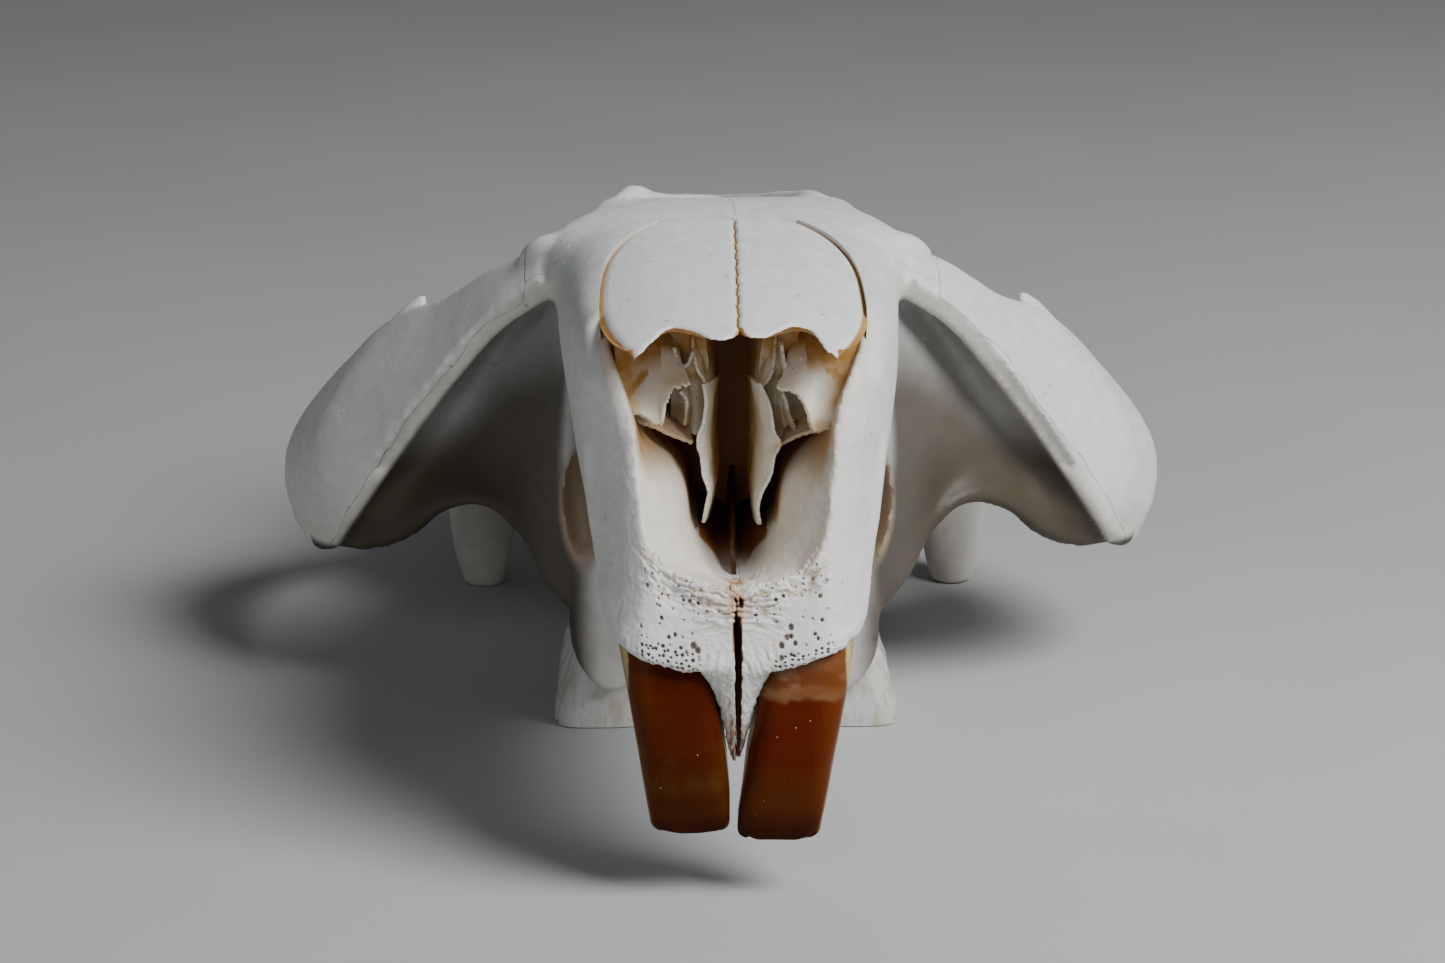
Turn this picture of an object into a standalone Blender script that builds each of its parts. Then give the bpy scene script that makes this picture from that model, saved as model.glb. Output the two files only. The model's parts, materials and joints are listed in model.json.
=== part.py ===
"""Skull of an adult beaver, without its lower jaw, resting on its cheek teeth.

The skull faces -Y. Lengths below are in millimetres, with y counted back from the front of the
incisors and z up from the surface that the skull lies on. The finished meshes are turned into
metres and moved so that the middle of the skull's length is at the origin.
"""
import math

import bmesh
import bpy
import numpy as np
from mathutils import Matrix, Vector

MM = 0.001

# Driving sizes of the skull
SKULL_LENGTH = 133.0
NASAL_HALF = 12.7
NASAL_LENGTH = 47.5
NASAL_TIP_Y = 2.8
NASAL_NOTCH = 4.6
NASAL_LOBE = 1.1
DORSAL_TIP_Z = 54.6
ORBIT_Y = 73.0
BROW_Z = {"right": 54.1, "left": 54.8}
BRAINCASE_HALF = 23.5
SUTURE_GAP = 0.3

# Cheek teeth: the four on each side, front to back
TOOTH_ROW_FRONT_Y = 53.5
TOOTH_NAMES = ("premolar4", "molar1", "molar2", "molar3")
TOOTH_LENGTHS = (9.0, 7.4, 7.0, 6.4)
TOOTH_WIDTHS = (9.8, 8.8, 8.0, 7.0)
TOOTH_ROW_INNER_FRONT = 8.4
TOOTH_ROW_SPREAD = 3.2
ALVEOLUS_Z = 4.6
TOOTH_ROOT = 4.9

# Incisors
INCISOR_ARC_Y = 27.0
INCISOR_ARC_Z = 16.0
INCISOR_ARC_RADIUS = 27.0
INCISOR_DEPTH = 8.2
INCISOR_TIP_Z = {"right": 5.9, "left": 6.8}
INCISOR_ROOT_Z = 31.0
INCISOR_ROUNDING = 1.0
# How far from the midline the outer and inner sides of each incisor are, at heights from the tip up
INCISOR_OUTER = {
    "right": ((6.0, 7.95), (21.0, 10.7), (25.0, 11.3)),
    "left": ((7.0, 8.1), (21.0, 10.44), (25.0, 11.2)),
}
INCISOR_INNER = {
    "right": ((6.0, 0.08), (8.8, 0.2), (11.0, 0.56), (15.1, 1.1), (17.0, 1.54), (19.9, 1.85), (22.0, 2.3),
              (24.5, 3.1), (31.0, 5.0)),
    "left": ((7.0, 0.6), (11.0, 0.6), (14.4, 0.87), (17.1, 1.22), (19.0, 1.45), (22.0, 2.1), (24.5, 3.0), (31.0, 5.0)),
}

# How finely the solids are drawn
VOXEL = 0.85
SMOOTH_STEPS = 3
SKULL_TRIANGLES = 4900

SIDES = (("right", 1.0), ("left", -1.0))

COLOURS = {
    "bone": ((0.74, 0.71, 0.64), 0.55),
    "bone_pale": ((0.78, 0.76, 0.70), 0.5),
    "bone_ochre": ((0.68, 0.56, 0.38), 0.6),
    "tooth": ((0.76, 0.73, 0.66), 0.35),
    "enamel": ((0.62, 0.20, 0.03), 0.25),
}


# Points and paths

def smooth_path(points, steps):
    """Points on a Catmull-Rom curve through the given ones, with steps spans between each two."""
    pts = [Vector(p) for p in points]
    pts = [2 * pts[0] - pts[1]] + pts + [2 * pts[-1] - pts[-2]]
    path = []
    for i in range(1, len(pts) - 2):
        before, start, end, after = pts[i - 1:i + 3]
        for k in range(steps):
            t = k / steps
            path.append(0.5 * (2 * start + (end - before) * t
                               + (2 * before - 5 * start + 4 * end - after) * t ** 2
                               + (3 * start - before - 3 * end + after) * t ** 3))
    path.append(pts[-2])
    return path


def even_path(points, count):
    """The same curve, as count points at equal distances along it."""
    path = smooth_path(points, 16)
    along = [0.0]
    for a, b in zip(path, path[1:]):
        along.append(along[-1] + (b - a).length)
    out = []
    k = 0
    for i in range(count):
        want = along[-1] * i / (count - 1)
        while k < len(path) - 2 and along[k + 1] < want:
            k += 1
        span = along[k + 1] - along[k]
        out.append(path[k].lerp(path[k + 1], (want - along[k]) / span if span else 0.0))
    return out


def mirrored(points, side):
    return [Vector((side * p[0], p[1], p[2])) for p in points]


# Closed meshes

def new_object(name, mesh):
    obj = bpy.data.objects.new(name, mesh)
    bpy.context.scene.collection.objects.link(obj)
    return obj


def from_bmesh(name, bm):
    bmesh.ops.recalc_face_normals(bm, faces=bm.faces)
    mesh = bpy.data.meshes.new(name)
    bm.to_mesh(mesh)
    bm.free()
    return new_object(name, mesh)


def loft(name, rings):
    """A closed skin over rings of equal count, with a flat cap at each end."""
    bm = bmesh.new()
    rows = [[bm.verts.new(p) for p in ring] for ring in rings]
    for low, high in zip(rows, rows[1:]):
        for k in range(len(low)):
            n = (k + 1) % len(low)
            bm.faces.new((low[k], low[n], high[n], high[k]))
    bm.faces.new(rows[0])
    bm.faces.new(rows[-1])
    return from_bmesh(name, bm)


def half_sections(name, sections, across, along):
    """A body symmetric about x = 0: each section is y and the (x, z) points of its right half."""
    rings = []
    for y, half in sections:
        right = smooth_path([(x, y, z) for x, z in half], across)
        left = [Vector((-p.x, p.y, p.z)) for p in reversed(right[1:-1])]
        rings.append(right + left)
    columns = [smooth_path([ring[k] for ring in rings], along) for k in range(len(rings[0]))]
    return loft(name, [list(row) for row in zip(*columns)])


def limb(name, points, widths, heights, up=(0, 0, 1), sides=14, steps=5):
    """A tapering limb with an oval section, widths across and heights along up, closed round."""
    path = smooth_path(points, steps)
    sizes = smooth_path([(w, h, 0) for w, h in zip(widths, heights)], steps)
    rings = []
    for i, p in enumerate(path):
        ahead = path[min(i + 1, len(path) - 1)] - path[max(i - 1, 0)]
        across = ahead.cross(Vector(up)).normalized()
        lift = across.cross(ahead).normalized()
        w, h = max(sizes[i].x, 0.05), max(sizes[i].y, 0.05)
        turn = [2 * math.pi * k / sides for k in range(sides)]
        rings.append([p + across * w * math.cos(a) + lift * h * math.sin(a) for a in turn])
    return loft(name, rings)


def ball(name, centre, radii, turn=(0, 0, 0), rings=16):
    """An ellipsoid; turn is its rotation about x, y and z in degrees."""
    bm = bmesh.new()
    place = Matrix.Translation(centre)
    for angle, axis in zip(turn, "XYZ"):
        place = place @ Matrix.Rotation(math.radians(angle), 4, axis)
    place = place @ Matrix.Diagonal((*radii, 1))
    bmesh.ops.create_uvsphere(bm, u_segments=rings * 2, v_segments=rings, radius=1, matrix=place)
    return from_bmesh(name, bm)


def prism(name, outline, axis, low, high):
    """A flat outline drawn across one axis and drawn out along it, from low to high."""
    bm = bmesh.new()
    order = {"x": (2, 0, 1), "y": (0, 2, 1)}[axis]
    ends = []
    for end in (low, high):
        ends.append([bm.verts.new([(a, b, end)[i] for i in order]) for a, b in outline])
    near, far = ends
    bm.faces.new(near)
    bm.faces.new(far)
    for k in range(len(outline)):
        n = (k + 1) % len(outline)
        bm.faces.new((near[k], near[n], far[n], far[k]))
    return from_bmesh(name, bm)


def sheet(name, front, back, bow, thickness, across=10, along=24):
    """A curved plate between two edges; bow(u, v) adds its hollow, u across and v along."""
    start = even_path(front, along)
    end = even_path(back, along)
    bm = bmesh.new()
    grid = []
    for i in range(along):
        v = i / (along - 1)
        row = []
        for k in range(across):
            u = k / (across - 1)
            row.append(bm.verts.new(start[i].lerp(end[i], u) + Vector(bow(u, v))))
        grid.append(row)
    for low, high in zip(grid, grid[1:]):
        for k in range(across - 1):
            bm.faces.new((low[k], low[k + 1], high[k + 1], high[k]))
    obj = from_bmesh(name, bm)
    solid = obj.modifiers.new("Solidify", "SOLIDIFY")
    solid.thickness = thickness
    solid.offset = 0
    apply_modifiers(obj)
    bm = bmesh.new()
    bm.from_mesh(obj.data)
    bmesh.ops.recalc_face_normals(bm, faces=bm.faces)
    bm.to_mesh(obj.data)
    bm.free()
    return obj


# Joining and cutting

def apply_modifiers(obj):
    graph = bpy.context.evaluated_depsgraph_get()
    mesh = bpy.data.meshes.new_from_object(obj.evaluated_get(graph))
    old = obj.data
    obj.modifiers.clear()
    obj.data = mesh
    bpy.data.meshes.remove(old)


def discard(obj):
    mesh = obj.data
    bpy.data.objects.remove(obj)
    if mesh.users == 0:
        bpy.data.meshes.remove(mesh)


def boolean(obj, others, operation):
    """Joins, cuts or keeps obj by closed meshes, which are then removed."""
    group = bpy.data.collections.new("group")
    bpy.context.scene.collection.children.link(group)
    for other in others:
        bpy.context.scene.collection.objects.unlink(other)
        group.objects.link(other)
    step = obj.modifiers.new("Boolean", "BOOLEAN")
    step.operation = operation
    step.solver = "EXACT"
    step.operand_type = "COLLECTION"
    step.collection = group
    apply_modifiers(obj)
    for other in list(group.objects):
        discard(other)
    bpy.data.collections.remove(group)
    return obj


def copy_of(obj, name):
    return new_object(name, obj.data.copy())


def keep_largest(obj):
    """Keeps the largest closed surface of a mesh."""
    bm = bmesh.new()
    bm.from_mesh(obj.data)
    left = set(bm.faces)
    best, best_size = [], -1.0
    while left:
        stack = [left.pop()]
        found = []
        while stack:
            face = stack.pop()
            found.append(face)
            for edge in face.edges:
                for other in edge.link_faces:
                    if other in left:
                        left.remove(other)
                        stack.append(other)
        xs = [v.co for f in found for v in f.verts]
        size = math.prod(max(p[i] for p in xs) - min(p[i] for p in xs) for i in range(3))
        if size > best_size:
            best, best_size = found, size
    drop = set(bm.faces) - set(best)
    bmesh.ops.delete(bm, geom=list(drop), context="FACES")
    bmesh.ops.dissolve_degenerate(bm, dist=0.002, edges=bm.edges)
    bmesh.ops.triangulate(bm, faces=bm.faces)
    bm.to_mesh(obj.data)
    bm.free()
    return obj


def soften(obj, voxel, steps, triangles):
    """Redraws a joined body as one even skin, rounds its edges and thins its triangles."""
    skin = obj.modifiers.new("Remesh", "REMESH")
    skin.mode = "VOXEL"
    skin.voxel_size = voxel
    rounding = obj.modifiers.new("Smooth", "SMOOTH")
    rounding.factor = 0.5
    rounding.iterations = steps
    apply_modifiers(obj)
    obj.modifiers.new("Triangulate", "TRIANGULATE")
    apply_modifiers(obj)
    thin = obj.modifiers.new("Decimate", "DECIMATE")
    thin.ratio = min(1.0, triangles / len(obj.data.polygons))
    apply_modifiers(obj)


# The skull as one body, before its openings and sutures

CORE = (
    (-1.5, ((0, 54.0), (6.0, 53.0), (9.0, 47.0), (9.6, 38), (10.2, 31), (10.2, 26.0), (5.6, 23.6),
            (0, 23.0))),
    (4.0, ((0, 54.6), (8.0, 53.8), (12.0, 48.5), (12.8, 38), (12.9, 31), (11.6, 25.6), (5.8, 23.4),
           (0, 22.8))),
    (12.0, ((0, 55.2), (10.1, 54.5), (13.6, 50.4), (14.1, 38), (13.2, 30), (11.6, 25.0), (6, 22.9),
            (0, 23.0))),
    (22.0, ((0, 55.9), (12.0, 55.0), (15.7, 50.8), (15.2, 39), (13.0, 30), (10.8, 25.2), (5, 24.0),
            (0, 24.3))),
    (36.0, ((0, 56.6), (12.0, 55.5), (16.8, 50.8), (16.2, 41), (12.8, 31), (9.6, 25.6), (5, 24.4),
            (0, 24.8))),
    (48.0, ((0, 56.8), (12.0, 55.9), (17.4, 51.5), (16.8, 42), (13.0, 32), (12.4, 23.5), (7, 18.0),
            (0, 17.5))),
    (56.0, ((0, 56.9), (11.0, 56.3), (18.6, 53.2), (16.4, 44), (14.6, 33), (15.5, 22.0), (10, 11.5),
            (0, 10.5))),
    (64.0, ((0, 56.1), (9.0, 56.0), (15.2, 54.0), (12.6, 46), (11.4, 35), (15.8, 24.0), (12, 10.0),
            (0, 9.0))),
    (ORBIT_Y, ((0, 54.5), (8.2, 54.6), (13.4, 53.8), (11.6, 47), (10.8, 36), (15.2, 23.0), (12, 9.5),
               (0, 8.8))),
    (82.0, ((0, 52.6), (7.5, 52.4), (12.6, 49.6), (13.6, 42), (13.2, 33), (14.8, 22.0), (10, 11.5),
            (0, 10.5))),
    (92.0, ((0, 50.4), (9.0, 49.4), (18.0, 43.6), (21.4, 36), (20.4, 27), (14.0, 18.0), (7, 13.5),
            (0, 13.0))),
    (103.0, ((0, 48.0), (10.0, 46.6), (20.0, 41.0), (BRAINCASE_HALF, 33), (23.6, 24), (18.0, 15.0),
             (8, 11.5), (0, 11.2))),
    (114.0, ((0, 46.0), (10.0, 44.6), (20.0, 39.0), (24.6, 31), (25.6, 22), (20.0, 13.0), (9, 9.8),
             (0, 9.4))),
    (122.0, ((0, 43.6), (9.0, 42.0), (18.0, 37.0), (24.0, 30), (25.6, 21), (20.0, 12.4), (9, 9.4),
             (0, 9.2))),
    (127.5, ((0, 36.6), (6.0, 36.0), (12.0, 32.5), (15.0, 27), (15.0, 20), (11.0, 14.0), (6, 11.0),
             (0, 10.6))),
)

# The crest where the front of the cheek turns into the side of the arch, top to bottom
CREST = ((18.6, 52.0, 49.2), (25.0, 56.0, 44.0), (32.8, 61.0, 33.7), (37.6, 64.5, 26.4),
         (41.2, 67.2, 20.8), (43.0, 70.5, 17.6))
# The inner edge of the cheek plate, down the side of the snout, and its arched lower edge
PLATE_INNER = ((15.0, 50.5, 49.0), (15.6, 49.0, 42.0), (16.0, 48.6, 34.0), (16.0, 49.6, 26.0),
               (15.0, 52.0, 18.0), (13.5, 53.0, 11.0))
PLATE_LOWER = ((13.5, 53.0, 11.0), (18.6, 53.5, 16.8), (21.4, 55.5, 21.6), (25.6, 58.0, 24.6),
               (30.6, 61.8, 23.0), (35.0, 65.5, 19.0), (39.0, 68.0, 17.2), (43.0, 70.5, 17.0))
# Lower and upper edges of the arch, from the tear bone back to the root behind the eye
ARCH_LOWER = CREST + ((45.4, 77.0, 15.5), (46.3, 86.0, 15.8), (44.6, 94.0, 18.0), (40.0, 101.0, 20.4))
ARCH_UPPER = ((18.8, 57.0, 51.4), (24.0, 62.5, 48.0), (29.6, 69.0, 43.4), (33.8, 74.6, 40.8),
              (37.4, 79.2, 37.8), (40.8, 84.5, 33.6), (42.8, 91.0, 30.0), (42.0, 97.0, 27.6),
              (38.5, 101.5, 26.0))
PLATE_HOLLOW = 8.6
PLATE_SKEW = 1.7
PLATE_STEEPNESS = 0.75
PLATE_THICKNESS = 1.9
PLATE_EDGE_POINTS = 60
PLATE_EDGE_SIZES = (0.8, 0.85, 0.85, 0.85, 0.85, 0.9, 1.0, 1.2)
ARCH_BOW = 3.9
ARCH_THICKNESS = 2.8


def cheek_plate(side):
    """The plate that faces forward beside the snout, hollow, with its lower edge arched."""
    lower = even_path(PLATE_LOWER, PLATE_EDGE_POINTS)
    straight = Vector(PLATE_LOWER[0]), Vector(PLATE_LOWER[-1])

    def bow(u, v):
        spot = lower[round(u * (PLATE_EDGE_POINTS - 1))] - straight[0].lerp(straight[1], u)
        pull = v ** 3
        # Steeper towards the top, where the plate is narrow
        steepness = PLATE_STEEPNESS * (0.6 + 0.8 * min(0.5, v))
        across = abs(math.sin(math.pi * u ** PLATE_SKEW)) ** steepness
        hollow = PLATE_HOLLOW * across * (1 - pull) * min(1.0, 4.0 * v + 0.5)
        return (side * spot.x * pull, hollow + spot.y * pull, spot.z * pull)
    plate = sheet("plate", mirrored(PLATE_INNER, side), mirrored(CREST, side), bow, PLATE_THICKNESS, 14, 26)
    edge = limb("plate_edge", mirrored(PLATE_LOWER, side), PLATE_EDGE_SIZES, PLATE_EDGE_SIZES, sides=10)
    return [plate, edge]


def arch(side):
    """The side wall of the arch, bowed outward, from the tear bone to the squamosal root."""
    def bow(u, v):
        rise = max(0.0, min(1.0, (v - 0.12) / 0.42))
        fall = max(0.0, min(1.0, (1.0 - v) / 0.25))
        wave = math.sin(math.pi * u ** 0.75) * rise ** 1.6 * fall
        return (side * ARCH_BOW * wave * 0.92, 0, ARCH_BOW * wave * 0.3)
    wall = sheet("arch", mirrored(ARCH_LOWER, side), mirrored(ARCH_UPPER, side), bow, ARCH_THICKNESS,
                 12, 40)
    rim_sizes = (1.2, 1.5, 1.7, 1.7, 1.6, 1.5, 1.4)
    rim = limb("rim", mirrored(ARCH_LOWER[3:], side), rim_sizes, rim_sizes)
    brow_sizes = (1.4, 1.4, 1.3, 1.3, 1.3, 1.3, 1.2, 1.2, 1.2)
    brow = limb("brow", mirrored(ARCH_UPPER, side), brow_sizes, brow_sizes)
    spur = limb("spur", mirrored(((34.9, 76.6, 39.2), (34.1, 76.2, 41.3), (32.9, 75.4, 43.2)), side),
                (2.4, 1.5, 0.5), (1.5, 1.0, 0.4), up=(0, 1, 0))
    return [wall, rim, brow, spur]


def skull_pieces():
    """Every form that the skull's body is joined from."""
    pieces = []
    for side_name, side in SIDES:
        pieces.extend(cheek_plate(side))
        pieces.extend(arch(side))
        # Tear bone, above the front of the orbit
        tear = ((14.5, 54.0, 53.2), (18.6, 56.4, 52.2), (20.8, 58.8, 50.8))
        pieces.append(limb("tear", mirrored(tear, side), (2.0, 2.2, 1.6), (1.4, 1.8, 1.3)))
        # Brow bump and the ridge that runs back from it to the crest of the head
        bump = BROW_Z[side_name]
        pieces.append(limb("ridge", mirrored(((12.2, 67, bump - 1.0), (10.0, 73, bump), (8.0, 84, 52.2),
                                              (4.0, 98, 49.2), (1.0, 110, 46.8), (0.5, 120, 44.6)), side),
                           (0.8, 1.5, 1.3, 1.2, 1.2, 1.0), (0.6, 1.2, 1.0, 1.0, 1.0, 0.8)))
        # Wall of the canal below the eye, behind its recess
        pieces.append(ball("canal", (side * 15.2, 54.6, 25.8), (3.4, 4.4, 8.8)))
        # Bone over the tooth roots, which also floors the orbit
        pieces.append(limb("alveolar", mirrored(((12.4, 51.4, 12.6), (12.8, 58, 13.0), (13.2, 68, 13.4),
                                                 (13.8, 78, 14.0), (13.6, 86.5, 15.5)), side),
                           (4.0, 4.0, 4.4, 4.4, 3.2), (8.0, 9.2, 9.2, 8.6, 6.0), sides=20))
        edge = ((12.6, 53.2, 8.6), (12.9, 58, 8.4), (13.3, 66, 8.6), (13.6, 74, 9.0), (13.6, 82, 9.8))
        pieces.append(limb("alveolar_edge", mirrored(edge, side), (3.4, 3.8, 3.9, 3.8, 3.4),
                           (3.4, 3.6, 3.6, 3.6, 3.4), sides=16))
        # Root of the arch on the side of the braincase, and the roof of the jaw joint
        pieces.append(limb("root", mirrored(((17, 104, 28.0), (27, 104.5, 27.0), (35, 103.0, 24.6),
                                             (40.4, 99.5, 23.0), (43.6, 94.5, 22.0)), side),
                           (8.0, 5.0, 3.4, 2.2, 1.4), (5.0, 3.4, 3.4, 3.6, 3.2)))
        pieces.append(limb("joint_roof",
                           mirrored(((19, 92, 27.0), (26, 96, 25.5), (31, 101.0, 24.5)), side),
                           (4.0, 4.0, 3.0), (2.6, 2.2, 2.0)))
        # Crest round the back of the head, and the mastoid and jugular processes below it
        nape = ((0, 121.6, 43.8), (10, 121.6, 42.0), (19, 120.4, 37.0), (25.5, 118.0, 29.5),
                (28.6, 115.0, 21.0), (29.6, 112.6, 12.0))
        pieces.append(limb("nape", mirrored(nape, side),
                           (1.6, 1.7, 1.9, 2.1, 2.5, 3.0), (1.9, 1.9, 2.0, 2.2, 2.6, 3.2), up=(0, 1, 0)))
        pieces.append(limb("mastoid", mirrored(((25, 114, 23), (27.4, 113, 15), (28.4, 111.4, 8.0),
                                                (28.4, 110.4, 2.6), (28.2, 110.0, -0.8)), side),
                           (6.4, 5.2, 4.2, 3.2, 2.2), (5.4, 4.4, 3.6, 3.0, 2.2), up=(0, 1, 0), sides=16))
        pieces.append(limb("nape_wing", mirrored(((20, 119, 26), (24, 117, 18), (27, 114, 10)), side),
                           (5.0, 5.0, 3.0), (4.0, 3.4, 2.4), up=(0, 1, 0)))
        # Condyles beside the great hole
        pieces.append(ball("condyle", (side * 8.2, 128.0, 19.4), (3.9, 5.0, 7.0),
                           (-24, side * 16, side * 18)))
        # Plates that hang behind the palate
        pieces.append(limb("pterygoid", mirrored(((7.6, 84, 12.5), (7.4, 89, 9.6), (7.6, 93.5, 7.2),
                                                  (8.4, 96.6, 5.2)), side),
                           (2.0, 1.1, 1.0, 0.7), (5.0, 4.6, 3.4, 1.4)))
        outer = ((12.6, 84, 14.5), (12.4, 89, 13.5), (12.0, 95, 12.5))
        pieces.append(limb("outer_pterygoid", mirrored(outer, side), (1.8, 1.2, 1.4), (4.6, 4.0, 4.0)))
    # Wedge of bone between the incisors, and the ridge on the lower midline behind the palate
    wedge = ((0, 3.5, 28.0), (0, 3.3, 23.6), (0, 3.5, 21.0), (0, 3.8, 18.0), (0, 4.2, 13.4))
    pieces.append(limb("incisor_wedge", wedge, (5.4, 4.3, 2.7, 1.7, 0.5), (3.7, 3.6, 3.3, 2.8, 1.5),
                       up=(0, 1, 0)))
    pieces.append(limb("base", ((0, 84, 15.0), (0, 96, 13.2), (0, 110, 11.2), (0, 122, 11.4)),
                       (4.0, 3.6, 6.0, 7.0), (3.4, 3.0, 3.0, 3.4)))
    return pieces


# Openings

FRONT_ROUNDING = 5.0
# Half-width of the flat part by height: widest at the opening of the nose
FRONT_FLAT = ((26.0, 8.4), (29.5, 7.4), (38.0, 7.6), (43.0, 8.4), (54.0, 12.4))
FRONT_ROUNDING_WIDTH = 4.6
FRONT_ROUNDING_LIMIT = 9.0
GREAT_HOLE_CENTRE = (0, 128.0, 26.6)
GREAT_HOLE_RADII = (8.2, 26.0, 6.6)
FRONT_PROFILE = ((-9.0, 8.0), (-1.2, 8.0), (-0.6, 18.0), (-0.4, 24.0), (1.0, 27.5), (1.9, 31.0), (3.4, 34.0),
                 (5.4, 39.0), (7.2, 44.0), (10.0, 48.6), (13.6, 51.6), (17.4, 53.4), (20.0, 62.0),
                 (-9.0, 62.0))

CAVITY = (
    (-8.0, ((0, 60.0), (13.4, 60.0), (13.2, 54.4), (11.4, 50.2), (9.9, 46.2), (9.7, 41.5), (9.2, 37.6),
            (7.8, 34.4), (3.8, 32.2), (0, 31.5))),
    (4.0, ((0, 60.0), (13.4, 60.0), (13.2, 54.4), (11.4, 50.2), (9.8, 46.2), (9.6, 41.5), (9.1, 37.4),
           (7.5, 34.0), (3.6, 31.6), (0, 30.8))),
    (9.0, ((0, 60.0), (13.2, 60.0), (12.8, 54.4), (11.0, 50.0), (9.6, 46.0), (8.9, 42.0), (7.0, 38.0),
           (5.0, 33.6), (2.2, 30.4), (0, 29.4))),
    (15.0, ((0, 53.6), (9.0, 53.6), (12.0, 52.6), (11.2, 49.6), (9.9, 46.2), (8.4, 42.8), (5.0, 38.6),
            (3.9, 33.4), (2.2, 29.9), (0, 29.0))),
    (24.0, ((0, 53.6), (8.6, 53.6), (11.2, 52.2), (11.0, 49.4), (10.2, 46.2), (8.4, 43.0), (5.0, 39.0),
            (3.8, 33.6), (2.1, 30.6), (0, 29.8))),
    (34.0, ((0, 53.8), (8.0, 53.6), (10.8, 51.6), (10.8, 48.8), (10.2, 45.8), (8.2, 43.0), (4.9, 39.4),
            (3.6, 34.2), (2.0, 31.2), (0, 30.4))),
    (44.0, ((0, 50.0), (5.0, 49.8), (7.0, 48.4), (7.2, 46.6), (6.6, 44.4), (5.2, 42.2), (4.0, 40.0),
            (2.6, 37.0), (1.4, 35.2), (0, 34.6))),
)


def nasal_half(t):
    """Half the width of both nasals together, at t from the front end to the rear."""
    if t <= 0.5:
        return NASAL_HALF * (0.745 + 0.255 * math.sin(min(1.0, t / 0.46) * math.pi / 2))
    return NASAL_HALF * math.sqrt(max(0.0, 1 - ((t - 0.5) / 0.56) ** 3.2))


def nasal(side, margin=0.0):
    """A nasal bone: a long plate, arched across, whose wavy front edge overhangs the opening.

    With a margin it is the seat cut for it: wider and deeper, and open at the top and front.
    """
    rings = []
    stations = 15
    across = 10
    for i in range(stations):
        along = (i / (stations - 1)) ** 1.25
        upper, lower = [], []
        for k in range(across):
            s = k / (across - 1)
            wave = NASAL_LOBE * (1 - s) + NASAL_NOTCH * math.exp(-((s - 0.56) / 0.2) ** 2)
            y = NASAL_TIP_Y + wave * (1 - along) + NASAL_LENGTH * along
            t = max(0.0, (y - NASAL_TIP_Y) / NASAL_LENGTH) ** 0.8
            widest = nasal_half(t)
            x = SUTURE_GAP / 2 - margin + (widest + margin - SUTURE_GAP / 2 + margin) * s
            top = DORSAL_TIP_Z + 2.2 * t + 0.7 * math.sin(math.pi * t)
            top -= (2.6 - 1.2 * t) * (abs(x) / NASAL_HALF) ** 2.6
            thick = 0.8 + 1.8 * min(1.0, t / 0.4)
            upper.append((x, y, top + (5.0 if margin else 0.0)))
            lower.append((x, y, top - thick * (1 - 0.4 * s ** 3) - margin))
        rings.append([Vector((side * x, y, z)) for x, y, z in upper + lower[::-1]])
    if margin:
        for p in rings[0]:
            p.y = -8.0
        for p in rings[-1]:
            p.y += margin
    return loft("nasal", rings)


def bulla(side, margin=0.0):
    """The ear capsule under the braincase with the bony tube that rises from it."""
    capsule = ball("bulla", (side * 14.6, 99.5, 10.4),
                   (7.4 + margin, 10.2 + margin, 7.4 + margin), (0, 0, side * -24), rings=8)
    widths = [size + margin for size in (4.6, 3.8, 3.6)]
    heights = [size + margin for size in (4.8, 4.0, 3.8)]
    tube = limb("ear_tube", mirrored(((18, 102.0, 13.0), (24.0, 104.6, 19.0), (30.4, 106.0, 24.8)), side),
                widths, heights, sides=10, steps=2)
    boolean(capsule, [tube], "UNION")
    if not margin:
        hole = limb("ear_hole",
                    mirrored(((33, 106.6, 27.2), (27.0, 105.2, 21.6), (24.0, 104.6, 19.0)), side),
                    (2.4, 2.2, 1.2), (2.6, 2.4, 1.2), sides=10, steps=1)
        boolean(capsule, [hole], "DIFFERENCE")
    return capsule


def front_cutter():
    """The space in front of the snout, whose front is rounded back towards its sides."""
    reach, stations = 21.0, 29
    rings = []
    for i in range(stations):
        x = reach * (2 * i / (stations - 1) - 1)
        ring = []
        for y, z in FRONT_PROFILE:
            beyond = max(0.0, abs(x) - float(np.interp(z, *zip(*FRONT_FLAT))))
            back = min(FRONT_ROUNDING_LIMIT, FRONT_ROUNDING * (beyond / FRONT_ROUNDING_WIDTH) ** 2)
            ring.append(Vector((x, y + (back if y > -9.0 else 0.0), z)))
        rings.append(ring)
    return loft("front", rings)


def openings():
    cutters = [front_cutter(), half_sections("cavity", CAVITY, 5, 4)]
    for _, side in SIDES:
        # Recess of the canal below the eye, beside the snout
        cutters.append(ball("infraorbital", (side * 15.2, 49.4, 25.8), (1.9, 4.6, 6.4),
                            (0, side * 4, side * -8)))
        # Slits in the roof of the mouth behind the incisors
        cutters.append(ball("incisive", (side * 1.7, 26.0, 23.4), (1.0, 7.6, 3.2), (0, side * 6, 0)))
    cutters.append(ball("great_hole", GREAT_HOLE_CENTRE, GREAT_HOLE_RADII))
    cutters.append(ball("base_pit", (0, 108.5, 6.4), (4.2, 6.5, 5.4)))
    cutters.append(ball("throat", (0, 92.0, 9.4), (5.0, 9.0, 4.4)))
    cutters.append(limb("rear_nostrils",
                        ((0, 90.0, 11.0), (0, 84.0, 14.0), (0, 74.0, 18.0)), (4.2, 3.6, 1.6),
                        (3.0, 3.0, 1.6)))
    cutters.append(ground())
    return cutters


def ground():
    """Everything below the surface that the skull lies on."""
    return prism("ground", ((-60, -20), (60, -20), (60, 0), (-60, 0)), "y", -20, 150)


# Teeth

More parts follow.
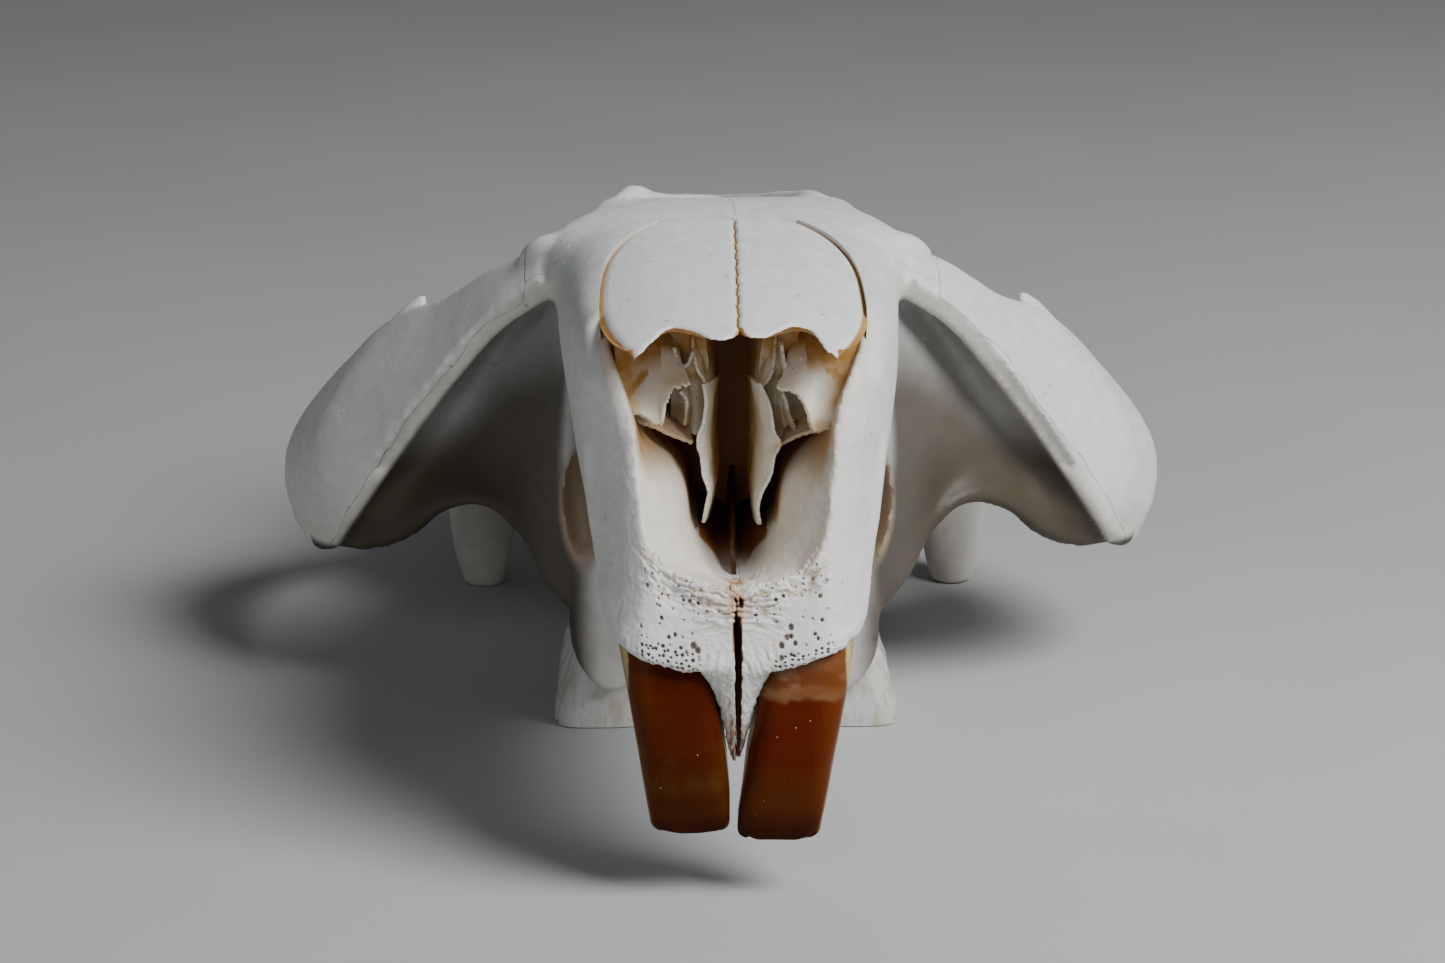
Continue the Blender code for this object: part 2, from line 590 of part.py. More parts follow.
def incisor(side_name, side, margin=0.0):
    """A curved incisor, with a bevelled tip and a root that sits in its socket."""
    tip = INCISOR_TIP_Z[side_name]
    rings = []
    count = 13
    sides = 14
    for i in range(count):
        t = (i / (count - 1)) ** 1.6
        z = tip + (INCISOR_ROOT_Z - tip) * t - margin * (1 - t) + margin * t
        reach = math.sqrt(INCISOR_ARC_RADIUS ** 2 - (z - INCISOR_ARC_Z) ** 2)
        front = INCISOR_ARC_Y - reach
        depth = min(INCISOR_DEPTH, 1.3 + max(0.0, z - tip) * 0.85)
        outer = float(np.interp(z, *zip(*INCISOR_OUTER[side_name])))
        inner = float(np.interp(z, *zip(*INCISOR_INNER[side_name])))
        near_tip = max(0.0, 1.0 - (z - tip) / INCISOR_ROUNDING)
        rounding = INCISOR_ROUNDING * (1.0 - math.sqrt(max(0.0, 1.0 - near_tip ** 2)))
        centre, half = (outer + inner) / 2, (outer - inner) / 2 - rounding + margin
        ring = []
        for k in range(sides):
            a = 2 * math.pi * (k + 0.5) / sides
            c, s = math.cos(a), math.sin(a)
            x = centre + half * math.copysign(abs(c) ** 0.5, c)
            y = front + depth / 2 - (depth / 2 + margin) * math.copysign(abs(s) ** 0.7, s)
            ring.append(Vector((side * x, y, z)))
        rings.append(ring)
    return loft("incisor", rings)


def cheek_teeth(side, margin=0.0):
    """The four cheek teeth of one side: prisms with a folded outline and a flat worn face."""
    teeth = []
    y = TOOTH_ROW_FRONT_Y
    total = sum(TOOTH_LENGTHS)
    points = 12
    for name, length, width in zip(TOOTH_NAMES, TOOTH_LENGTHS, TOOTH_WIDTHS):
        middle = y + length / 2
        inner = TOOTH_ROW_INNER_FRONT + TOOTH_ROW_SPREAD * (middle - TOOTH_ROW_FRONT_Y) / total
        centre = inner + width / 2
        outline = []
        for k in range(points):
            a = 2 * math.pi * k / points
            c, s = math.cos(a), math.sin(a)
            rx = width / 2 * abs(c) ** 0.55 + margin
            ry = (length / 2 - SUTURE_GAP / 2) * abs(s) ** 0.55 + margin
            fold = 0.55 * math.exp(-(s / 0.25) ** 2)
            outline.append((math.copysign(max(rx - fold, 0), c), math.copysign(ry, s)))
        rings = []
        for z, grow, lean in ((-margin, 1.0, 0.0), (2.0, 0.98, 0.0), (ALVEOLUS_Z, 0.86, 0.5),
                              (ALVEOLUS_Z + TOOTH_ROOT, 0.62, 0.9)):
            ring = [(centre - lean + x * grow, middle + yy * grow) for x, yy in outline]
            rings.append([Vector((side * x, yy, z)) for x, yy in ring])
        teeth.append((name, loft(name, rings)))
        y += length
    return teeth


# Thin bones in the nose

SHEET_THICKNESS = 0.75
SHELF_FRONT_Y = 15.0
SHELF_REAR_Y = 36.0
VOMER_THICKNESS = 0.9


def ribbon(name, line, side, thickness, low, high):
    """A thin sheet: a line in the x and z plane, given its thickness and drawn out along y."""
    path = [Vector((side * x, 0, z)) for x, z in line]
    near, far = [], []
    for i, p in enumerate(path):
        ahead = path[min(i + 1, len(path) - 1)] - path[max(i - 1, 0)]
        across = Vector((-ahead.z, 0, ahead.x)).normalized() * thickness / 2
        near.append(((p + across).x, (p + across).z))
        far.append(((p - across).x, (p - across).z))
    return prism(name, near + far[::-1], "y", low, high)


def nose_shelf(side, margin=0.0):
    """The sheet that carries the others, or with a margin the slot for it in the side wall."""
    line = ((3.4, 46.8), (6.0, 44.8), (8.6, 43.4), (10.6, 43.4), (12.0 + margin, 43.6))
    return ribbon("shelf", line, side, SHEET_THICKNESS + 2 * margin, SHELF_FRONT_Y - margin,
                  SHELF_REAR_Y + margin)


def turbinate(side):
    """The scrolled sheets in one side of the nose, on a shelf that is seated in its side wall."""
    leaf_line = ((2.6, 34.8), (2.9, 38), (3.5, 42), (3.2, 45.4), (4.2, 46.6))
    scroll_line = ((6.4, 44.4), (5.4, 46.6), (5.8, 48.8), (7.6, 49.6), (8.8, 48.4), (8.4, 46.8))
    hook_line = ((4.2, 46.2), (3.6, 48.4), (4.0, 50.4))
    leaf = ribbon("leaf", leaf_line, side, SHEET_THICKNESS, 14.0, SHELF_REAR_Y)
    scroll = ribbon("scroll", scroll_line, side, SHEET_THICKNESS, 15.0, SHELF_REAR_Y)
    hook = ribbon("hook", hook_line, side, SHEET_THICKNESS, 16.0, SHELF_REAR_Y)
    return boolean(leaf, [nose_shelf(side), scroll, hook], "UNION")


def vomer(margin=0.0):
    """The upright blade seated in the floor of the nose."""
    outline = ((15.0 - margin, 27.6 - margin), (15.0 - margin, 31.0), (18.0, 34.0), (30.0, 37.0),
               (38.0, 38.2), (38.0 + margin, 29.0 - margin))
    return prism("vomer", outline, "x", -VOMER_THICKNESS / 2 - margin, VOMER_THICKNESS / 2 + margin)


# Parting the skull at its sutures

def part(obj, line, corners, axis, low, high, gap):
    """Splits a body along a suture line: returns the piece within line and corners, and the rest."""
    inside = copy_of(obj, "inside")
    boolean(inside, [prism("block", list(line) + list(corners), axis, low, high)], "INTERSECT")
    shifted = [(a + gap[0], b + gap[1]) for a, b in line]
    block = prism("block", shifted + list(corners), axis, low - SUTURE_GAP, high + SUTURE_GAP)
    boolean(obj, [block], "DIFFERENCE")
    return keep_largest(inside), keep_largest(obj)


def part_sides(obj):
    """Splits a body at the midline, into its right and left halves."""
    half = SUTURE_GAP / 2
    right, left = part(obj, [(half, -30), (half, 90)], [(90, 90), (90, -30)], "y", -20, 160,
                       (-SUTURE_GAP, 0))
    return (("right", right), ("left", left))


def from_front(line, corners, side):
    return [(side * x, z) for x, z in line], [(side * x, z) for x, z in corners]


# Suture lines: seen from the side as (y, z), or from the front as (x, z)
PREMAXILLA_LINE = ((30.0, 10.0), (31.0, 30.0), (34.5, 40.0), (41.0, 47.0), (47.0, 51.0), (51.5, 53.6),
                   (52.4, 70.0))
LAMBDOID_LINE = ((119.4, 70.0), (118.4, 42.0), (115.0, 31.0), (112.0, 24.0), (106.5, 18.0), (104.0, 10.0),
                 (104.0, -9.0))
CORONAL_LINE = ((50.0, 70.0), (50.0, 53.0), (56.0, 48.5), (60.0, 41.0), (66.0, 36.0), (78.0, 35.0),
                (85.0, 38.0), (88.0, 44.0), (89.5, 70.0))
TEMPORAL_LINE = ((80.0, 70.0), (84.0, 40.0), (92.0, 35.0), (104.0, 33.6), (119.0, 34.0), (125.0, 34.0))
JUGAL_LINE = ((22.0, 70.0), (22.0, 47.4), (26.0, 44.4), (33.6, 34.4), (38.4, 27.0), (42.2, 21.0),
              (44.2, 16.4), (44.6, -9.0))
JUGAL_REAR_Y = 95.0
PALATE_REAR_Y = 86.0
SPHENOID_HALF = 12.4


def bones():
    """The named bones: the softened skull, seated for its teeth and nose, parted at the sutures."""
    skull = half_sections("skull", CORE, 6, 5)
    boolean(skull, skull_pieces(), "UNION")
    keep_largest(skull)
    boolean(skull, openings(), "DIFFERENCE")
    keep_largest(skull)
    soften(skull, VOXEL, SMOOTH_STEPS, SKULL_TRIANGLES)
    seats = [ground()]
    for side_name, side in SIDES:
        seats += [incisor(side_name, side, SUTURE_GAP), nasal(side, SUTURE_GAP), bulla(side, SUTURE_GAP)]
        seats += [tooth for _, tooth in cheek_teeth(side, SUTURE_GAP)]
        seats.append(nose_shelf(side, SUTURE_GAP))
    seats.append(vomer(SUTURE_GAP))
    boolean(skull, seats, "DIFFERENCE")
    keep_largest(skull)

    found = {}
    rear, rest = part(skull, LAMBDOID_LINE, [(160, -9), (160, 70)], "x", -60, 60, (-SUTURE_GAP, 0))
    found["occipital"] = rear
    front, rest = part(rest, PREMAXILLA_LINE, [(-20, 70), (-20, 10)], "x", -60, 60, (SUTURE_GAP, 0))
    for side_name, half in part_sides(front):
        found["premaxilla_" + side_name] = half
    for side_name, side in SIDES:
        line, corners = from_front(JUGAL_LINE, [(70, -9), (70, 70)], side)
        jugal, rest = part(rest, line, corners, "y", 45, JUGAL_REAR_Y, (-side * SUTURE_GAP, 0))
        found["jugal_" + side_name] = jugal
    frontal, rest = part(rest, CORONAL_LINE, [], "x", -60, 60, (0, -SUTURE_GAP))
    for side_name, half in part_sides(frontal):
        found["frontal_" + side_name] = half
    parietal, rest = part(rest, TEMPORAL_LINE, [(125, 70)], "x", -60, 60, (0, -SUTURE_GAP))
    for side_name, half in part_sides(parietal):
        found["parietal_" + side_name] = half
    palate_end = [(PALATE_REAR_Y, -9), (PALATE_REAR_Y, 90)]
    maxilla, rest = part(rest, palate_end, [(-20, 90), (-20, -9)], "x", -60, 60, (SUTURE_GAP, 0))
    for side_name, half in part_sides(maxilla):
        found["maxilla_" + side_name] = half
    for side_name, side in SIDES:
        line, corners = from_front([(SPHENOID_HALF, -9), (SPHENOID_HALF, 90)], [(70, 90), (70, -9)], side)
        squamosal, rest = part(rest, line, corners, "y", 20, 160, (-side * SUTURE_GAP, 0))
        found["squamosal_" + side_name] = squamosal
    found["sphenoid"] = rest
    return found


def finish(obj, name, look):
    """Names a node, gives it its material and turns it into metres about the skull's middle."""
    keep_largest(obj)
    obj.name = name
    obj.data.name = name
    obj.data.transform(Matrix.Scale(MM, 4) @ Matrix.Translation((0, -SKULL_LENGTH / 2, 0)))
    colour, roughness = COLOURS[look]
    material = bpy.data.materials.get(look) or bpy.data.materials.new(look)
    material.use_nodes = True
    shader = material.node_tree.nodes["Principled BSDF"]
    shader.inputs["Base Color"].default_value = (*colour, 1)
    shader.inputs["Roughness"].default_value = roughness
    shader.inputs["Metallic"].default_value = 0.0
    obj.data.materials.clear()
    obj.data.materials.append(material)
    obj.data.shade_smooth()
    obj.data.set_sharp_from_angle(angle=math.radians(40))
    bpy.context.scene.collection.objects.unlink(obj)
    SKULL_COLLECTION.objects.link(obj)


for old in list(bpy.data.objects):
    bpy.data.objects.remove(old)
SKULL_COLLECTION = bpy.data.collections.new("beaver_skull")
bpy.context.scene.collection.children.link(SKULL_COLLECTION)

for bone_name, bone in bones().items():
    finish(bone, bone_name, "bone")
for side_name, side in SIDES:
    finish(incisor(side_name, side), "incisor_" + side_name, "enamel")
    finish(nasal(side), "nasal_" + side_name, "bone_pale")
    finish(bulla(side), "bulla_" + side_name, "bone_pale")
    finish(turbinate(side), "turbinate_" + side_name, "bone_ochre")
    for tooth_name, tooth in cheek_teeth(side):
        finish(tooth, tooth_name + "_" + side_name, "tooth")
finish(vomer(), "vomer", "bone_ochre")
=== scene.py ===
"""The looks of an adult beaver's skull, without its lower jaw, resting on its cheek teeth.

The forms are drawn in millimetres, with y counted back from the front of the incisors and z up
from the surface that the skull lies on. finish_piece() turns them into metres in the frame.
"""
import itertools
import json
import math

import bmesh
import bpy
import numpy as np
from mathutils import Matrix, Vector

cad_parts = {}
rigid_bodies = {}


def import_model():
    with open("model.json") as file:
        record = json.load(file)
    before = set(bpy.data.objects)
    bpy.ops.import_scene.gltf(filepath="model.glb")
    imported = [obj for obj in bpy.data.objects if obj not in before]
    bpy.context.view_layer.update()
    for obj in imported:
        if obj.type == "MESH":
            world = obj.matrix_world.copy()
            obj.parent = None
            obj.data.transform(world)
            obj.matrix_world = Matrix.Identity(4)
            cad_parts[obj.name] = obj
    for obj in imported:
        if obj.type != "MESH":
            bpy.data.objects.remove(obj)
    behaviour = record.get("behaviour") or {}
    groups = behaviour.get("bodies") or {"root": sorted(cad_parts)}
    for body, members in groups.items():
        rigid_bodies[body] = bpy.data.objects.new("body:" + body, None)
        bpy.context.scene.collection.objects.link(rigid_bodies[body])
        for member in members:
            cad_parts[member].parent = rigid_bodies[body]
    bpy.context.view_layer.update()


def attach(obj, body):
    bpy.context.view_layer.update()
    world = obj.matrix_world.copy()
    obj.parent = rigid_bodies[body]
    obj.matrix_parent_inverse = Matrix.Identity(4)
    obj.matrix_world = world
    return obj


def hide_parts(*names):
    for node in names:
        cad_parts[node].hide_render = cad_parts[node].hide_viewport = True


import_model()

MM = 0.001
SHARP_ANGLE = 42.0
SKULL_LENGTH = 133.0
NASAL_HALF = 12.7
NASAL_LENGTH = 47.5
NASAL_TIP_Y = 2.8
DORSAL_TIP_Z = 54.6
ORBIT_Y = 73.0
BROW_Z = {"right": 54.1, "left": 54.8}
BRAINCASE_HALF = 23.5

TOOTH_ROW_FRONT_Y = 53.5
# From front to rear: name, length and width
CHEEK_TEETH = (("premolar4", 9.0, 9.8), ("molar1", 7.4, 8.8), ("molar2", 7.0, 8.0), ("molar3", 6.4, 7.0))
TOOTH_ROW_INNER_FRONT = 8.4
TOOTH_ROW_SPREAD = 3.2
TOOTH_GAP = 0.16
ALVEOLUS_Z = 4.6
TOOTH_ROOT = 4.9

INCISOR_ARC_Y = 27.0
INCISOR_ARC_Z = 16.0
INCISOR_ARC_RADIUS = 27.0
INCISOR_DEPTH = 8.2
INCISOR_TIP_Z = {"right": 5.9, "left": 6.8}
INCISOR_ROOT_Z = 31.0
INCISOR_ROUNDING = 1.0
# How far from the midline the outer and inner sides of each incisor are, at heights from the tip up
INCISOR_OUTER = {
    "right": ((6, 7.95), (21, 10.7), (25, 11.3)),
    "left": ((7, 8.1), (21, 10.44), (25, 11.2)),
}
INCISOR_INNER = {
    "right": ((6, 0.08), (8.8, 0.2), (11, 0.56), (15.1, 1.1), (17, 1.54), (19.9, 1.85), (22, 2.3),
     (24.5, 3.1), (31, 5)),
    "left": ((7, 0.6), (11, 0.6), (14.4, 0.87), (17.1, 1.22), (19, 1.45), (22, 2.1), (24.5, 3), (31, 5)),
}

VOXEL = 0.45
SMOOTH_STEPS = 7
CAPSULE_VOXEL = 0.4
CAPSULE_SMOOTH_STEPS = 5
SEAT_MARGIN = 0.14
HAIRLINE = 0.05
SIDES = (("right", 1.0), ("left", -1.0))


# Points, paths and masks

# After how many steps the noise and the cells repeat
LATTICE = 24
CELL_GRID = 32


def smooth_path(points, steps):
    """Points on a Catmull-Rom curve through the given ones, with steps spans between each two."""
    pts = [Vector(p) for p in points]
    pts = [2 * pts[0] - pts[1]] + pts + [2 * pts[-1] - pts[-2]]
    path = []
    for i in range(1, len(pts) - 2):
        before, start, end, after = pts[i - 1:i + 3]
        for k in range(steps):
            t = k / steps
            path.append(0.5 * (2 * start + (end - before) * t
                               + (2 * before - 5 * start + 4 * end - after) * t ** 2
                               + (3 * start - before - 3 * end + after) * t ** 3))
    path.append(pts[-2])
    return path


def even_path(points, count):
    """The same curve, as count points at equal distances along it."""
    path = smooth_path(points, 16)
    along = [0.0]
    for a, b in zip(path, path[1:]):
        along.append(along[-1] + (b - a).length)
    out = []
    k = 0
    for i in range(count):
        want = along[-1] * i / (count - 1)
        while k < len(path) - 2 and along[k + 1] < want:
            k += 1
        span = along[k + 1] - along[k]
        out.append(path[k].lerp(path[k + 1], (want - along[k]) / span if span else 0.0))
    return out


def mirrored(points, side):
    return [Vector((side * p[0], p[1], p[2])) for p in points]


def lookup(table, value):
    """What a table of (key, result) pairs gives for values between its keys."""
    return np.interp(value, *zip(*table))


def ease(low, high, value):
    """0 below low, 1 above high, and a smooth step between them."""
    t = np.clip((value - low) / (high - low), 0.0, 1.0)
    return t * t * (3 - 2 * t)


def fade(low, high, value):
    """1 below low, 0 above high, and a smooth step between them."""
    return 1 - ease(low, high, value)


def band(low, rise, fall, high, value):
    """1 from rise to fall, and 0 below low and above high."""
    return ease(low, rise, value) * fade(fall, high, value)


def grain(points, size, seed):
    """Smooth noise from -1 to 1 over points, with features of about the given size (x, y, z)."""
    lattice = np.random.default_rng(seed).uniform(-1, 1, (LATTICE, LATTICE, LATTICE))
    p = np.asarray(points) / np.asarray(size)
    cell = np.floor(p).astype(int)
    t = p - cell
    t = t * t * (3 - 2 * t)
    total = np.zeros(len(p))
    for corner in itertools.product((0, 1), repeat=3):
        index = (cell + np.array(corner)) % LATTICE
        weight = np.prod(np.where(corner, t, 1 - t), axis=1)
        total += weight * lattice[index[:, 0], index[:, 1], index[:, 2]]
    return total


def cells(a, b, size, seed):
    """How far the nearest of a jittered grid of seeds is, in units of size, and that seed's number."""
    random = np.random.default_rng(seed)
    jitter = random.uniform(0.14, 0.86, (CELL_GRID, CELL_GRID, 2))
    numbers = random.uniform(0, 1, (CELL_GRID, CELL_GRID))
    p = np.stack([a, b], axis=1) / size
    cell = np.floor(p).astype(int)
    best = np.full(len(p), 9.0)
    number = np.zeros(len(p))
    for step in itertools.product((-1, 0, 1), repeat=2):
        index = cell + np.array(step)
        column, row = (index % CELL_GRID).T
        away = np.linalg.norm(index + jitter[column, row] - p, axis=1)
        number = np.where(away < best, numbers[column, row], number)
        best = np.minimum(best, away)
    return best, number


# Closed meshes

def new_object(name, mesh):
    obj = bpy.data.objects.new(name, mesh)
    bpy.context.scene.collection.objects.link(obj)
    return obj


def from_bmesh(name, bm):
    bmesh.ops.recalc_face_normals(bm, faces=bm.faces)
    mesh = bpy.data.meshes.new(name)
    bm.to_mesh(mesh)
    bm.free()
    return new_object(name, mesh)


def loft(name, rings):
    """A closed skin over rings of equal count, with a flat cap at each end."""
    bm = bmesh.new()
    rows = [[bm.verts.new(p) for p in ring] for ring in rings]
    for low, high in zip(rows, rows[1:]):
        for k in range(len(low)):
            n = (k + 1) % len(low)
            bm.faces.new((low[k], low[n], high[n], high[k]))
    bm.faces.new(rows[0])
    bm.faces.new(rows[-1])
    return from_bmesh(name, bm)


def half_sections(name, sections, across, along):
    """A body symmetric about x = 0: each section is y and the (x, z) points of its right half."""
    rings = []
    for y, half in sections:
        right = smooth_path([(x, y, z) for x, z in half], across)
        left = [Vector((-p.x, p.y, p.z)) for p in reversed(right[1:-1])]
        rings.append(right + left)
    columns = [smooth_path([ring[k] for ring in rings], along) for k in range(len(rings[0]))]
    return loft(name, [list(row) for row in zip(*columns)])


def limb(name, points, widths, heights, up=(0, 0, 1), sides=18, steps=6):
    """A tapering limb with an oval section, widths across and heights along up, closed round."""
    path = smooth_path(points, steps)
    sizes = smooth_path([(w, h, 0) for w, h in zip(widths, heights)], steps)
    rings = []
    for i, p in enumerate(path):
        ahead = path[min(i + 1, len(path) - 1)] - path[max(i - 1, 0)]
        across = ahead.cross(Vector(up)).normalized()
        lift = across.cross(ahead).normalized()
        w, h = max(sizes[i].x, 0.05), max(sizes[i].y, 0.05)
        turn = [2 * math.pi * k / sides for k in range(sides)]
        rings.append([p + across * w * math.cos(a) + lift * h * math.sin(a) for a in turn])
    return loft(name, rings)


def ball(name, centre, radii, turn=(0, 0, 0)):
    """An ellipsoid; turn is its rotation about x, y and z in degrees."""
    bm = bmesh.new()
    place = Matrix.Translation(centre)
    for angle, axis in zip(turn, "XYZ"):
        place = place @ Matrix.Rotation(math.radians(angle), 4, axis)
    place = place @ Matrix.Diagonal((*radii, 1))
    bmesh.ops.create_uvsphere(bm, u_segments=40, v_segments=20, radius=1, matrix=place)
    return from_bmesh(name, bm)


def form(side, name, place, *sizes):
    """A limb along several points of the right half, or a ball about one, on the given side."""
    if isinstance(place[0], tuple):
        return limb(name, mirrored(place, side), *sizes)
    radii, turn = (*sizes, (0, 0, 0))[:2]
    return ball(name, (side * place[0], *place[1:]), radii, (turn[0], side * turn[1], side * turn[2]))


def forms(side, rows):
    return [form(side, *row) for row in rows]


def prism(name, outline, axis, low, high):
    """A flat outline drawn across one axis and drawn out along it, from low to high."""
    bm = bmesh.new()
    order = {"x": (2, 0, 1), "y": (0, 2, 1)}[axis]
    near, far = ([bm.verts.new([(a, b, end)[i] for i in order]) for a, b in outline] for end in (low, high))
    bm.faces.new(near)
    bm.faces.new(far)
    for k in range(len(outline)):
        n = (k + 1) % len(outline)
        bm.faces.new((near[k], near[n], far[n], far[k]))
    return from_bmesh(name, bm)


def ground():
    return prism("ground", ((-60, -20), (60, -20), (60, 0), (-60, 0)), "y", -20, 150)


def skin(name, rows):
    """An open sheet through rows of points."""
    bm = bmesh.new()
    rows = [[bm.verts.new(p) for p in row] for row in rows]
    for low, high in zip(rows, rows[1:]):
        for k in range(len(low) - 1):
            bm.faces.new((low[k], low[k + 1], high[k + 1], high[k]))
    return from_bmesh(name, bm)


def thicken(obj, thickness):
    solid = obj.modifiers.new("Solidify", "SOLIDIFY")
    solid.thickness = thickness
    solid.offset = 0
    apply_modifiers(obj)
    bm = bmesh.new()
    bm.from_mesh(obj.data)
    bmesh.ops.recalc_face_normals(bm, faces=bm.faces)
    bm.to_mesh(obj.data)
    bm.free()
    return obj


def sheet(name, front, back, bow, thickness, across, along):
    """A curved plate between two edges; bow(u, v) adds its hollow, u across and v along."""
    start, end = even_path(front, along), even_path(back, along)
    rows = []
    for i in range(along):
        shares = [k / (across - 1) for k in range(across)]
        rows.append([start[i].lerp(end[i], u) + Vector(bow(u, i / (along - 1))) for u in shares])
    return thicken(skin(name, rows), thickness)


# Joining, cutting and moving points

def apply_modifiers(obj):
    graph = bpy.context.evaluated_depsgraph_get()
    mesh = bpy.data.meshes.new_from_object(obj.evaluated_get(graph))
    old = obj.data
    obj.modifiers.clear()
    obj.data = mesh
    bpy.data.meshes.remove(old)


def discard(obj):
    mesh = obj.data
    bpy.data.objects.remove(obj)
    if mesh.users == 0:
        bpy.data.meshes.remove(mesh)


def boolean(obj, others, operation, solver="MANIFOLD"):
    """Joins, cuts or keeps obj by closed meshes, which are then removed."""
    group = bpy.data.collections.new("group")
    bpy.context.scene.collection.children.link(group)
    for other in others:
        bpy.context.scene.collection.objects.unlink(other)
        group.objects.link(other)
    step = obj.modifiers.new("Boolean", "BOOLEAN")
    step.operation = operation
    step.solver = solver
    step.operand_type = "COLLECTION"
    step.collection = group
    apply_modifiers(obj)
    for other in list(group.objects):
        discard(other)
    bpy.data.collections.remove(group)


def copy_of(obj, name):
    return new_object(name, obj.data.copy())


def joined(name, objects):
    """Several closed meshes as one object."""
    bm = bmesh.new()
    for obj in objects:
        bm.from_mesh(obj.data)
        discard(obj)
    mesh = bpy.data.meshes.new(name)
    bm.to_mesh(mesh)
    bm.free()
    return new_object(name, mesh)


def vectors(items, name):
    flat = np.empty(len(items) * 3, dtype=np.float32)
    items.foreach_get(name, flat)
    return flat.reshape(-1, 3).astype(float)


def points_of(mesh):
    return vectors(mesh.vertices, "co")


def normals_of(mesh):
    return vectors(mesh.vertex_normals, "vector")


def set_points(mesh, points):
    mesh.vertices.foreach_set("co", np.ascontiguousarray(points, dtype=np.float32).ravel())
    mesh.update()


def add_mark(mesh, name, values):
    marks = mesh.attributes.new(name, "FLOAT", "POINT")
    marks.data.foreach_set("value", np.ascontiguousarray(values, dtype=np.float32))


def keep_largest(obj):
    """Keeps the largest closed surface of a mesh."""
    mesh = obj.data
    edges = np.empty(len(mesh.edges) * 2, dtype=np.int32)
    mesh.edges.foreach_get("vertices", edges)
    a, b = edges.reshape(-1, 2).T
    label = np.arange(len(mesh.vertices))
    while True:
        low = np.minimum(label[a], label[b])
        new = label.copy()
        np.minimum.at(new, label[a], low)
        np.minimum.at(new, label[b], low)
        for _ in range(4):
            new = new[new]
        if (new == label).all():
            break
        label = new
    names, counts = np.unique(label, return_counts=True)
    if len(names) == 1:
        return
    points = points_of(mesh)
    sizes = []
    for name in names[np.argsort(-counts)[:6]]:
        shell = points[label == name]
        sizes.append((float(np.prod(shell.max(axis=0) - shell.min(axis=0))), name))
    kept = max(sizes)[1]
    bm = bmesh.new()
    bm.from_mesh(mesh)
    bmesh.ops.delete(bm, geom=[v for v in bm.verts if label[v.index] != kept], context="VERTS")
    bm.to_mesh(mesh)
    bm.free()


def soften(obj, voxel, steps):
    """Redraws a joined body as one even skin and rounds its edges."""
    skin = obj.modifiers.new("Remesh", "REMESH")
    skin.mode = "VOXEL"
    skin.voxel_size = voxel
    rounding = obj.modifiers.new("Smooth", "SMOOTH")
    rounding.factor = 0.5
    rounding.iterations = steps
    apply_modifiers(obj)


def refine(obj, wanted, cuts, smoothing):
    """Divides the faces whose middle is wanted, and rounds what they make."""
    bm = bmesh.new()
    bm.from_mesh(obj.data)
    bmesh.ops.triangulate(bm, faces=bm.faces)
    edges = {e for f in bm.faces if wanted(f.calc_center_median()) for e in f.edges}
    bmesh.ops.subdivide_edges(bm, edges=list(edges), cuts=cuts, use_grid_fill=True)
    bmesh.ops.triangulate(bm, faces=bm.faces)
    inner = [v for v in bm.verts if wanted(v.co)]
    for _ in range(smoothing):
        bmesh.ops.smooth_vert(bm, verts=inner, factor=0.5, use_axis_x=True, use_axis_y=True, use_axis_z=True)
    bm.to_mesh(obj.data)
    bm.free()


# The skull as one body, before its openings and sutures

CORE = (
    (-1.5, ((0, 54), (6, 53), (9, 47), (9.6, 38), (10.2, 31), (10.2, 26), (5.6, 23.6), (0, 23))),
    (4, ((0, 54.6), (8, 53.8), (12, 48.5), (12.8, 38), (12.9, 31), (11.6, 25.6), (5.8, 23.4), (0, 22.8))),
    (12, ((0, 55.2), (10.1, 54.5), (13.6, 50.4), (14.1, 38), (13.2, 30), (11.6, 25), (6, 22.9), (0, 23))),
    (22, ((0, 55.9), (12, 55), (15.7, 50.8), (15.2, 39), (13, 30), (10.8, 25.2), (5, 24), (0, 24.3))),
    (36, ((0, 56.6), (12, 55.5), (16.8, 50.8), (16.2, 41), (12.8, 31), (9.6, 25.6), (5, 24.4), (0, 24.8))),
    (48, ((0, 56.8), (12, 55.9), (17.4, 51.5), (16.8, 42), (13, 32), (12.4, 23.5), (7, 18), (0, 17.5))),
    (56, ((0, 56.9), (11, 56.3), (18.6, 53.2), (16.4, 44), (14.6, 33), (15.5, 22), (10, 11.5), (0, 10.5))),
    (64, ((0, 56.1), (9, 56), (15.2, 54), (12.6, 46), (11.4, 35), (15.8, 24), (12, 10), (0, 9))),
    (ORBIT_Y, ((0, 54.5), (8.2, 54.6), (13.4, 53.8), (11.6, 47), (10.8, 36), (15.2, 23), (12, 9.5),
     (0, 8.8))),
    (82, ((0, 52.6), (7.5, 52.4), (12.6, 49.6), (13.6, 42), (13.2, 33), (14.8, 22), (10, 11.5), (0, 10.5))),
    (92, ((0, 50.4), (9, 49.4), (18, 43.6), (21.4, 36), (20.4, 27), (14, 18), (7, 13.5), (0, 13))),
    (103, ((0, 48), (10, 46.6), (20, 41), (BRAINCASE_HALF, 33), (23.6, 24), (18, 15), (8, 11.5),
     (0, 11.2))),
    (114, ((0, 46), (10, 44.6), (20, 39), (24.6, 31), (25.6, 22), (20, 13), (9, 9.8), (0, 9.4))),
    (122, ((0, 43.6), (9, 42), (18, 37), (24, 30), (25.6, 21), (20, 12.4), (9, 9.4), (0, 9.2))),
    (127.5, ((0, 36.6), (6, 36), (12, 32.5), (15, 27), (15, 20), (11, 14), (6, 11), (0, 10.6))),
)

